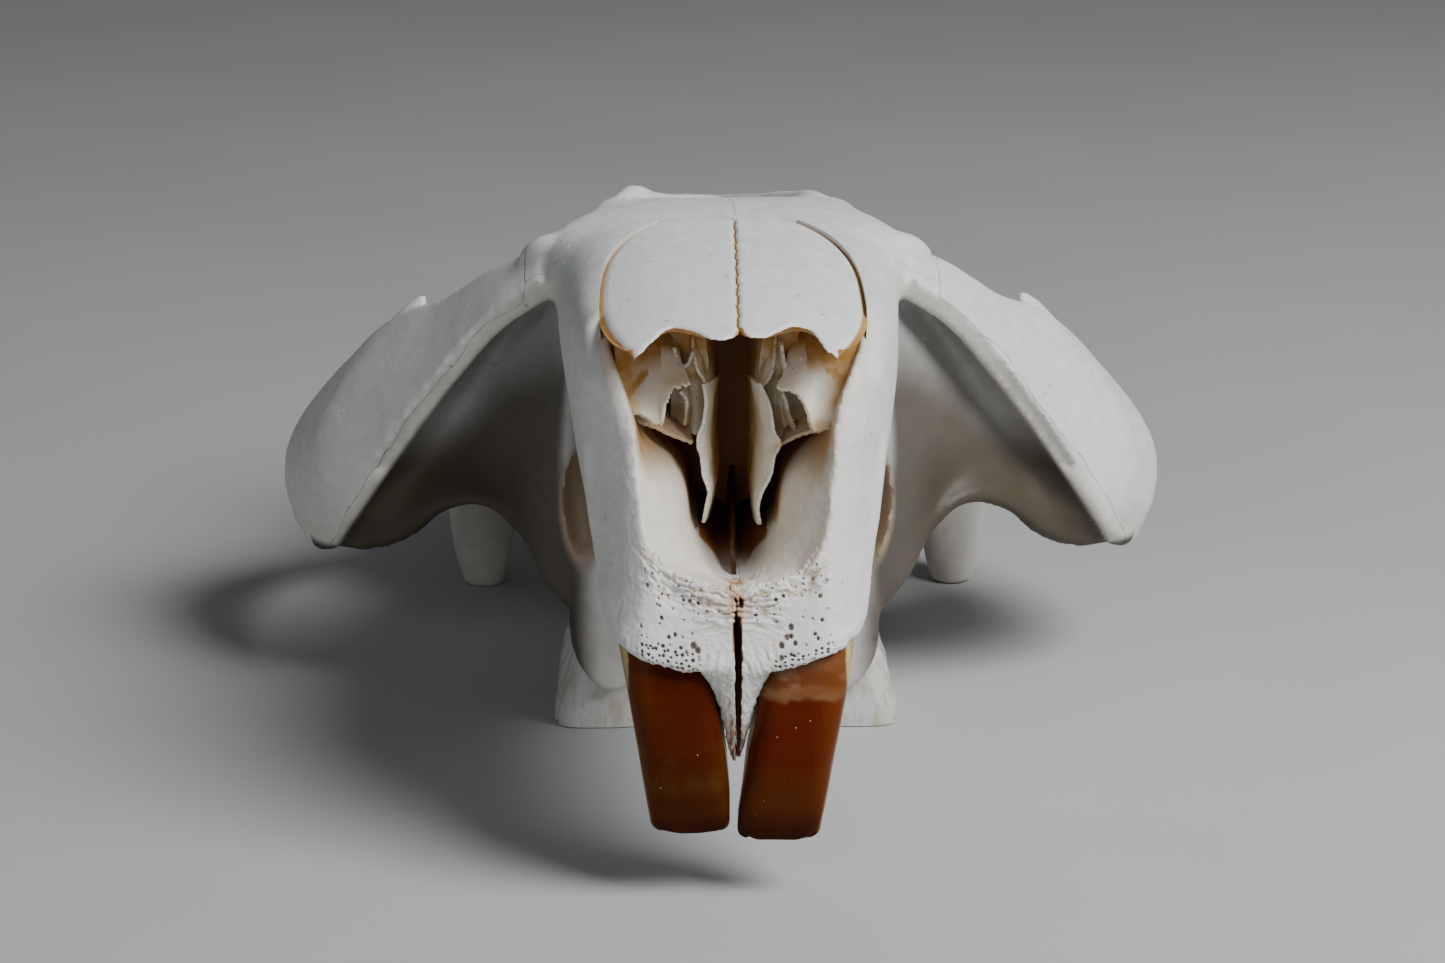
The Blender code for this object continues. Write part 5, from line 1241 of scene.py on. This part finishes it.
def stain_and_shade_bone(mesh, grooves=0.0):
    """Marks how brown, ochre, dark greenish and creamy each point of the bone is: stains, and painted shade
    inside the nose and in the cheek hollows.
    """
    points = points_of(mesh)
    normals = normals_of(mesh)
    x, y, z = points.T
    ax = np.abs(x)
    # Inside the nose: cream at the mouth of the opening, then ochre, then deep brown. The ochre is partly
    # stain and partly painted shade under the nasals; the deep brown further in is painted shade.
    depth = y - lookup(MOUTH, z)
    inward = ease(-0.1, 0.35, -normals[:, 0] * np.sign(x)) * ease(0.0, 0.8, depth)
    inside = fade(12.4, 13.4, ax) * band(28.6, 30.0, 54.4, 55.4, z) * fade(49.0, 52.0, y)
    inside *= highest(inward, ease(2.5, 5.0, depth) * fade(11.2, 12.0, ax))
    low = fade(41.5, 45.5, z)
    # Painted shade: a band under the shelf of the sheets, darkened with ochre and brown
    shelf = band(38.5, 43.0, 44.6, 46.4, z) * ease(1.0, 4.0, depth)
    wall = ease(33.0, 35.0, z)
    deep_wall = wall * ease(2.6, 3.4, ax) * ease(13.0, 16.0, depth)
    # Painted shade: the dark hole at the back of the funnel, whose lower edge leans back as it goes deeper
    hole = ease(-0.25, 0.25, z + 0.268 * (y - 9.0) - lookup(SHADED_HOLE_FLOOR, ax)) * (y > 7.0)
    brown = low * highest((0.9 * ease(10.0, 12.0, depth) - 0.5 * deep_wall) * wall,
                          hole * (1 - 0.6 * deep_wall))
    brown = inside * highest(brown + (1 - low) * 0.8 * ease(12.0, 24.0, depth), 0.40 * shelf)
    ochre = low * highest(0.3 * wall * ease(8.5, 10.5, depth), deep_wall)
    ochre = inside * highest(ochre + (1 - low) * (0.35 + 0.65 * ease(0.3, 3.5, depth)), 0.75 * shelf)
    # The gap between the premaxillae
    slot = fade(0.5, 0.8, ax) * fade(9.5, 11.0, y) * fade(30.0, 33.0, z)
    deep = highest(ease(3.6, 4.2, y), ease(0.8, 1.8, y) * band(15.5, 17.0, 24.0, 25.5, z))
    brown = highest(brown, slot * highest(ease(0.3, 0.75, np.abs(normals[:, 0])), deep) * 0.9)
    zigzag = fade(0.5, 1.2, np.abs(x + 0.1)) * band(26.5, 28.5, 32.5, 34.0, z) * (y < 12.0)
    # The groove round the nasals
    seam = fade(0.35, 0.75, np.abs(ax - nasal_edge(y))) * ease(48.0, 50.0, z) * (y > 4.0) * (y < 50.0)
    # Painted shade: the hollow of the cheek plate and the recess below the eye are darkened to a dark
    # greenish brown
    crest_x, _, crest_z = zip(*CREST)
    below_crest = np.interp(ax, crest_x, crest_z) - z
    facing = ease(-0.6, -0.2, -normals[:, 1])
    shade_olive = ease(0.8, 2.2, below_crest) * facing * ease(47.0, 50.0, y) * (y < 74.0) * ease(13.0, 16.5, ax)
    # The painted shade is lighter in a band just under the crest, high up
    shade_olive *= 1.0 - 0.42 * fade(4.0, 12.0, below_crest) * ease(26.0, 34.0, z)
    shade_olive *= 0.94 + 0.06 * highest(ease(34.0, 26.0, z) * ease(18.0, 23.0, ax), 0.5 * grain(points, 4.0, 82))
    # Painted shade in the recess below the eye, with some ochre
    recess = fade(0.8, 1.1, np.hypot((ax - RECESS_X) / 2.6, (z - RECESS_Z) / 7.2))
    recess *= ease(45.0, 48.0, y) * (y < 56.0)
    cream = highest(0.32 + 0.3 * grain(points, 11.0, 81), 0.85 * fade(6.0, 26.0, z) * ease(30.0, 60.0, y),
                    0.7 * fade(1.0, 3.0, np.abs(below_crest)) * (y > 48.0) * (y < 75.0),
                    0.8 * fade(0.4, 1.4, np.abs(depth)) * ease(32.0, 34.0, z) * (ax < 14.0), inside)
    add_mark(mesh, "brown", brown)
    add_mark(mesh, "ochre", highest(
        ochre, 0.75 * zigzag * ease(-0.4, 0.2, grain(points, 0.5, 80)), 0.55 * grooves,
        0.9 * seam * ease(0.75, 0.3, normals[:, 2]), 0.4 * recess))
    add_mark(mesh, "shade_olive", shade_olive * (1 - recess) + 0.62 * recess)
    add_mark(mesh, "cream", cream)


def stain_and_shade_sheets(mesh, side_name):
    """The sheets in the nose are creamy at their free edges and browner towards their roots; the brown deeper
    in, the amber roof under the nasals and the dark creases are painted shade.
    """
    points = points_of(mesh)
    x, y, z = points.T
    ax = np.abs(x)
    patch = 2.0 * grain(points, 2.6, 91)
    # Painted shade: the roof under the nasals is amber, except the free edges of the hooks
    hooked = fade(15.4, 16.6, y) * (ax < 7.0)
    roof = ease(48.4, 50.6, z + 0.25 * patch + 0.15 * (ax - 7.0)) * (1 - hooked)
    behind = ease(16.8, 17.8, y) * ease(2.2, 3.0, ax) * fade(20.5, 21.5, y)
    (x0, z0), (x1, z1) = CREASES[side_name]
    run, rise = x1 - x0, z1 - z0
    t = np.clip(((ax - x0) * run + (z - z0) * rise) / (run ** 2 + rise ** 2), 0, 1)
    crease = fade(0.28, 0.40, np.hypot(ax - x0 - t * run, z - z0 - t * rise)) * (y < 16.5)
    shelf = 0.6 * ease(3.6, 4.6, ax) * fade(44.6, 45.4, z)
    add_mark(mesh, "ochre", highest(
        ease(18.0, 23.0, y + patch), roof, behind * (0.12 + 0.75 * ease(46.6, 48.0, z)), crease,
        0.9 * ease(8.2, 10.2, ax) * ease(44.8, 46.5, z), shelf))
    # Painted shade: browner towards the back wall, under the roof of the nasals, in the creases and low by
    # the midline
    add_mark(mesh, "brown", highest(
        0.85 * ease(22.5, 27.5, y + patch), 0.4 * ease(50.2, 52.6, z) * (1 - hooked), 0.3 * crease,
        fade(1.0, 1.4, ax) * fade(37.0, 38.5, z), ease(28.0, 30.0, y)))
    add_mark(mesh, "cream", (0.5 + 0.4 * grain(points, 3.0, 92)) * ease(14.4, 16.6, y))


def stain_and_shade_nasal(mesh):
    """The nasals are clean outside, amber in the grooves beside them, and amber and brown underneath as
    painted shade.
    """
    points = points_of(mesh)
    normals = normals_of(mesh)
    x, y, _ = points.T
    ax = np.abs(x)
    # Painted shade: faces that turn downwards are darkened to amber and brown
    below = ease(0.0, 0.25, -normals[:, 2])
    side_edge = nasal_edge(y) - 0.24 + 0.2 * np.minimum(1, nasal_share(y) / 0.5)
    beside = ease(-0.14, 0.0, ax - side_edge) + ease(0.55, 0.85, np.abs(normals[:, 0])) * (ax < 1.6)
    add_mark(mesh, "brown", highest((0.2 + 0.4 * ease(10.0, 22.0, y)) * below,
                                    0.7 * beside * (ax > 2) * fade(8.0, 16.0, y)))
    add_mark(mesh, "ochre", np.clip(highest(below, beside), 0, 1))
    add_mark(mesh, "cream", 0.25 + 0.3 * grain(points, 9.0, 93))


def mark_incisor(mesh, side_name, side):
    """Marks the pale edges of the enamel and the dentine behind it."""
    x, y, z = points_of(mesh).T
    behind = y - INCISOR_ARC_Y + np.sqrt(INCISOR_ARC_RADIUS ** 2 - (z - INCISOR_ARC_Z) ** 2)
    to_edge = lookup(INCISOR_OUTER[side_name], z) - side * x
    # The enamel stops short of the outer corner, more so near the socket
    bare = fade(0.0, 0.12, to_edge - 0.1 - 0.75 * ease(20.0, 25.5, z))
    dentine = highest(ease(2.0, 2.5, behind), bare * ease(20.5, 21.5, z))
    add_mark(mesh, "edge", fade(0.08, 0.34, to_edge) * (1 - dentine))
    add_mark(mesh, "dentine", dentine)


# Materials

NOISE_ROUGHNESS = 0.55


class Paint:
    """A procedural material, whose textures are measured in millimetres of the object."""

    def __init__(self, name):
        self.material = bpy.data.materials.new(name)
        self.material.use_nodes = True
        self.tree = self.material.node_tree
        self.colour = None
        place = self.node("TexCoord", {}, "Object")
        self.place = self.node("VectorMath", {0: place, "Scale": 1 / MM}, operation="SCALE")

    def put(self, socket, value):
        if isinstance(value, bpy.types.NodeSocket):
            self.tree.links.new(value, socket)
        else:
            socket.default_value = value

    def node(self, kind, inputs, output=0, **settings):
        """The output of a new node whose inputs are linked or set."""
        node = self.tree.nodes.new("ShaderNode" + kind)
        for name, value in settings.items():
            setattr(node, name, value)
        for name, value in inputs.items():
            self.put(node.inputs[name], value)
        return node.outputs[output]

    def noise(self, size, detail, factors=(1, 1, 1)):
        stretched = self.node("VectorMath", {0: self.place, 1: factors}, operation="MULTIPLY")
        return self.node("TexNoise", {"Vector": stretched, "Scale": 1.0 / size, "Detail": detail,
                                      "Roughness": NOISE_ROUGHNESS}, "Fac")

    def pores(self, size):
        return self.node("TexVoronoi", {"Vector": self.place, "Scale": 1.0 / size}, "Distance")

    def step(self, value, low, high, to_low=0.0, to_high=1.0):
        values = dict(enumerate((value, low, high, to_low, to_high)))
        return self.node("MapRange", values, interpolation_type="SMOOTHSTEP")

    def blots(self, size, detail, low, high, to_low=0.0, to_high=1.0, factors=(1, 1, 1)):
        """Noise turned into soft-edged blots."""
        return self.step(self.noise(size, detail, factors), low, high, to_low, to_high)

    def maths(self, operation, a, b):
        return self.node("Math", {0: a, 1: b}, operation=operation)

    def times(self, a, b):
        return self.maths("MULTIPLY", a, b)

    def mix(self, factor, a, b, blend="MIX"):
        a, b = (v if isinstance(v, bpy.types.NodeSocket) else (*v, 1) for v in (a, b))
        return self.node("Mix", {0: factor, 6: a, 7: b}, 2, data_type="RGBA", blend_type=blend)

    def layer(self, factor, colour, blend="MIX"):
        """Lays a colour over what is there."""
        self.colour = self.mix(factor, self.colour, colour, blend)

    def mark(self, name):
        return self.node("Attribute", {}, "Fac", attribute_name=name)

    def finish(self, roughness, height=None, distance=0.0, strength=0.0, **constants):
        """Sets the shader: height is a relief of the given distance in millimetres."""
        shader = self.tree.nodes["Principled BSDF"]
        self.put(shader.inputs["Base Color"], self.colour)
        self.put(shader.inputs["Roughness"], roughness)
        if height:
            relief = {"Height": height, "Distance": distance * MM, "Strength": strength}
            self.put(shader.inputs["Normal"], self.node("Bump", relief))
        for name, value in constants.items():
            shader.inputs[name.replace("_", " ")].default_value = value
        return self.material


OCHRE = (0.48, 0.27, 0.07)
# Deep brown for stains, and for painted shade deep in the nose and under the nasals
DEEP_BROWN_AND_SHADE = (0.32, 0.12, 0.026)
# Dark greenish brown of the painted shade in the cheek hollows
PAINTED_SHADE_OLIVE = (0.062, 0.049, 0.031)
PINHOLE = (0.17, 0.10, 0.085)


def bone_paint(name, pale, cream, fibre, pore_size, glow=0.12, glow_depth=0.0012):
    """Dry cleaned bone: cool off-white and cream, with fibres, pores and brown stains, and the painted shade
    that its marks carry.
    """
    paint = Paint(name)
    broad = paint.times(paint.blots(9.0, 4.0, 0.38, 0.66), 0.35)
    paint.colour = paint.mix(paint.maths("MAXIMUM", broad, paint.mark("cream")), pale, cream)
    mottled = paint.blots(1.4, 5.0, 0.3, 0.75, 0.92, 1.04, (1, 0.45, 1))
    paint.layer(1.0, paint.node("CombineColor", {0: mottled, 1: mottled, 2: mottled}), "MULTIPLY")
    paint.layer(paint.blots(0.55, 2.0, 0.68, 0.80, 0.0, 0.30), (0.58, 0.49, 0.35))
    # Scattered pinholes, gathered in patches
    spots = paint.step(paint.pores(pore_size), 0.07, 0.12, 1.0, 0.0)
    spots = paint.times(spots, paint.blots(6.0, 2.0, 0.50, 0.66))
    paint.layer(paint.times(spots, 0.6), (0.24, 0.13, 0.09))
    # Painted shade in the cheek hollows and the recess below the eye
    paint.layer(paint.mark("shade_olive"), PAINTED_SHADE_OLIVE)
    # Ochre: stains, and painted shade under the nasals and under the shelf in the nose
    paint.layer(paint.times(paint.mark("ochre"), paint.blots(0.9, 4.0, 0.25, 0.75, 0.82, 1.15)), OCHRE)
    paint.layer(paint.times(paint.mark("pore"), 0.9), PINHOLE)
    # Deep brown: stain in the gap between the premaxillae, and painted shade deeper in the nose and under the
    # nasals
    paint.layer(paint.mark("brown"), DEEP_BROWN_AND_SHADE)
    height = paint.maths("ADD", paint.times(paint.noise(0.42, 4.0, fibre), 0.7),
                         paint.times(paint.noise(0.16, 3.0), 0.3))
    height = paint.maths("SUBTRACT", height, paint.times(spots, 1.4))
    return paint.finish(paint.blots(2.2, 3.0, 0.3, 0.7, 0.46, 0.62), height, 0.09, 0.5,
                        Subsurface_Weight=glow, Subsurface_Scale=glow_depth,
                        Subsurface_Radius=(1.0, 0.55, 0.25), Specular_IOR_Level=0.35)


# Bands along each incisor, from the tip up: where each begins and is full, its strength and its colour
TIP_COLOURS = {"right": (0.036, 0.0065, 0.0006), "left": (0.026, 0.0042, 0.0004)}
ENAMEL_BANDS = {
    "right": ((8.5, 12.0, 1.0, (0.085, 0.018, 0.002)), (13.4, 16.2, 1.0, (0.090, 0.0095, 0.0010)),
              (21.7, 22.3, 1.0, (0.175, 0.068, 0.027)), (22.9, 23.6, 0.7, (0.125, 0.027, 0.008)),
              (24.2, 25.6, 0.8, (0.20, 0.085, 0.040))),
    "left": ((8.4, 11.0, 1.0, (0.058, 0.0125, 0.0012)), (12.0, 19.0, 1.0, (0.064, 0.0085, 0.0009)),
             (19.0, 25.0, 1.0, (0.060, 0.0065, 0.0007))),
}


def enamel_paint(side_name, side):
    """Orange enamel of an incisor, banded along it, with pale edges and dentine behind."""
    paint = Paint("enamel_" + side_name)
    across = paint.node("SeparateXYZ", {0: paint.place}, 0)
    height = paint.node("SeparateXYZ", {0: paint.place}, 2)
    wave = paint.maths("ADD", height, paint.times(paint.noise(5.0, 4.0, (1, 1, 0.8)), 3.4))
    bands = paint.noise(1.5, 3.0, (0.25, 0.25, 1.0))
    paint.colour = TIP_COLOURS[side_name]
    for low, high, strength, colour in ENAMEL_BANDS[side_name]:
        paint.layer(paint.step(wave, low, high, 0.0, strength), colour)
    if side > 0:
        patches = paint.blots(2.6, 4.0, 0.50, 0.66, 0.0, 0.5, (0.6, 1, 1.5))
        paint.layer(paint.times(patches, paint.step(height, 20.0, 21.2)), (0.29, 0.165, 0.09))
    else:
        patches = paint.blots(4.2, 3.0, 0.42, 0.62, 0.0, 0.75, (1.2, 1, 0.6))
        low = paint.times(paint.step(height, 18.5, 14.5), paint.step(height, 10.5, 12.5))
        paint.layer(paint.times(patches, low), (0.090, 0.037, 0.006))
    # Lighter towards the outer side
    paint.layer(paint.step(paint.times(across, side), 6.8, 10.2, 0.0, 0.45), (0.16, 0.046, 0.006))
    paint.layer(paint.step(bands, 0.4, 0.7, 0.0, 0.2), (0.10, 0.026, 0.003))
    paint.layer(paint.blots(0.5, 3.0, 0.55, 0.75, 0.0, 0.2, (1.0, 1.0, 0.12)), (0.032, 0.006, 0.0009))
    # Dust
    paint.layer(paint.step(paint.pores(1.7), 0.025, 0.05, 0.6, 0.0), (0.74, 0.66, 0.56))
    paint.layer(paint.times(paint.mark("edge"), 0.6), (0.36, 0.19, 0.05))
    paint.layer(paint.mark("dentine"), paint.mix(paint.blots(1.2, 4.0, 0.35, 0.7, factors=(1, 1, 0.3)),
                                                 (0.50, 0.39, 0.20), (0.36, 0.24, 0.09)))
    lines = paint.times(paint.noise(0.34, 3.0, (1.0, 1.0, 0.10)), 0.6)
    return paint.finish(paint.blots(1.0, 3.0, 0.3, 0.75, 0.22, 0.38, (1, 1, 0.4)),
                        paint.maths("ADD", lines, paint.times(bands, 0.5)), 0.05, 0.6,
                        Specular_IOR_Level=0.06, Coat_Weight=0.02, Coat_Roughness=0.12)


def tooth_paint():
    """Cheek teeth: cream enamel ridges round browner dentine."""
    paint = Paint("cheek_tooth")
    enamel = paint.mix(paint.blots(1.2, 4.0, 0.35, 0.7, factors=(1, 1, 0.4)), (0.58, 0.59, 0.58),
                       (0.48, 0.44, 0.36))
    paint.colour = paint.mix(paint.blots(0.8, 4.0, 0.35, 0.65), (0.36, 0.22, 0.10), (0.52, 0.38, 0.20))
    paint.layer(paint.step(paint.mark("enamel"), 0.35, 0.65), enamel)
    paint.layer(paint.blots(0.5, 3.0, 0.55, 0.75, 0.0, 0.4, (1, 1, 0.15)), (0.30, 0.19, 0.09))
    relief = paint.noise(0.4, 4.0, (1, 1, 0.3))
    return paint.finish(paint.blots(0.9, 3.0, 0.3, 0.7, 0.28, 0.46), relief, 0.08, 0.6)


def floor_paint():
    paint = Paint("floor")
    paint.colour = paint.mix(paint.blots(60.0, 2.0, 0.3, 0.7), (0.44, 0.44, 0.44), (0.46, 0.46, 0.455))
    return paint.finish(0.8)


# Putting the pieces in the frame

def finish_piece(obj, name, node, material):
    """Names a piece, paints it, turns it into metres and puts it in the node's place."""
    obj.name = name
    obj.data.name = name
    obj.data.transform(Matrix.Scale(MM, 4) @ Matrix.Translation((0, -SKULL_LENGTH / 2, 0)))
    obj.data.materials.clear()
    obj.data.materials.append(material)
    obj.data.shade_smooth()
    obj.data.set_sharp_from_angle(angle=math.radians(SHARP_ANGLE))
    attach(obj, "root")
    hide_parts(node)


BONE = bone_paint("bone", (0.70, 0.715, 0.735), (0.72, 0.68, 0.59), (1.0, 0.3, 1.0), 1.7)
NASAL_BONE = bone_paint("nasal_bone", (0.76, 0.775, 0.79), (0.78, 0.76, 0.70), (1.0, 0.16, 1.0), 2.6, 0.35,
                        0.0018)
THIN_BONE = bone_paint("thin_bone", (0.82, 0.78, 0.69), (0.92, 0.81, 0.61), (0.5, 0.5, 1.0), 1.1, 0.35)
# Near-black brown for the vomer deep in the nose: painted shade
PAINTED_SHADE_BONE = bone_paint("painted_shade_bone", (0.055, 0.018, 0.003), (0.045, 0.014, 0.002), (0.5, 0.5, 1.0), 1.1, 0.0)
TOOTH = tooth_paint()

for bone_name, bone in bones().items():
    grooves = 0.0
    if bone_name.startswith("premaxilla"):
        refine(bone, front_of_snout, 3, 3)
        grooves = carve_front(bone.data)
    stain_and_shade_bone(bone.data, grooves)
    finish_piece(bone, "bone_" + bone_name, bone_name, BONE)

for side_name, side in SIDES:
    tooth = incisor(side_name, side)
    mark_incisor(tooth.data, side_name, side)
    node = "incisor_" + side_name
    finish_piece(tooth, "tooth_" + node, node, enamel_paint(side_name, side))
    plate = nasal(side_name, side)
    stain_and_shade_nasal(plate.data)
    finish_piece(plate, "bone_nasal_" + side_name, "nasal_" + side_name, NASAL_BONE)
    capsule = bulla(side)
    stain_and_shade_bone(capsule.data)
    finish_piece(capsule, "bone_bulla_" + side_name, "bulla_" + side_name, BONE)
    scrolls = turbinate(side_name, side)
    stain_and_shade_sheets(scrolls.data, side_name)
    finish_piece(scrolls, "bone_turbinate_" + side_name, "turbinate_" + side_name, THIN_BONE)
    for tooth_name, tooth in cheek_teeth(side):
        node = tooth_name + "_" + side_name
        finish_piece(tooth, "tooth_" + node, node, TOOTH)
# The vomer is painted near-black as painted shade
finish_piece(vomer(), "bone_vomer", "vomer", PAINTED_SHADE_BONE)


# Floor, light and camera

FLOOR_HALF = 1.6
LIT_POINT = Vector((0, 0, 0.03))

floor_mesh = bmesh.new()
bmesh.ops.create_grid(floor_mesh, x_segments=2, y_segments=2, size=FLOOR_HALF)
floor = from_bmesh("floor", floor_mesh)
floor.data.materials.append(floor_paint())


def place_facing(name, data, place, direction):
    """Adds a light or camera that looks along a direction."""
    obj = new_object(name, data)
    obj.location = place
    obj.rotation_euler = direction.to_track_quat("-Z", "Y").to_euler()
    return obj


for name, place, size, power, colour in (
        ("key", Vector((0.38, -0.31, 0.50)), 0.38, 6.9, (0.98, 0.99, 1.0)),
        ("fill", Vector((-0.30, -0.80, 0.36)), 0.5, 1.0, (0.94, 0.97, 1.0))):
    light = bpy.data.lights.new(name, "AREA")
    light.shape = "DISK"
    light.size = size
    light.energy = power
    light.color = colour
    place_facing(name, light, place, LIT_POINT - place)

world = bpy.data.worlds.new("studio")
world.use_nodes = True
sky = world.node_tree.nodes["Background"].inputs
sky[0].default_value = (0.80, 0.83, 0.88, 1)
sky[1].default_value = 0.10
bpy.context.scene.world = world

CAMERA_AZIMUTH = math.radians(-1.0)
CAMERA_ELEVATION = math.radians(15.0)
CAMERA_DISTANCE = 0.380
CAMERA_LENS = 101.8
CAMERA_TARGET = Vector((-0.00135, -SKULL_LENGTH * MM / 2, 0.042))

camera = bpy.data.cameras.new("camera")
camera.lens = CAMERA_LENS
camera.clip_start = 0.01
toward = Vector((math.sin(CAMERA_AZIMUTH) * math.cos(CAMERA_ELEVATION),
                 -math.cos(CAMERA_AZIMUTH) * math.cos(CAMERA_ELEVATION), math.sin(CAMERA_ELEVATION)))
bpy.context.scene.camera = place_facing("camera", camera, CAMERA_TARGET + toward * CAMERA_DISTANCE, -toward)

bpy.context.view_layer.update()
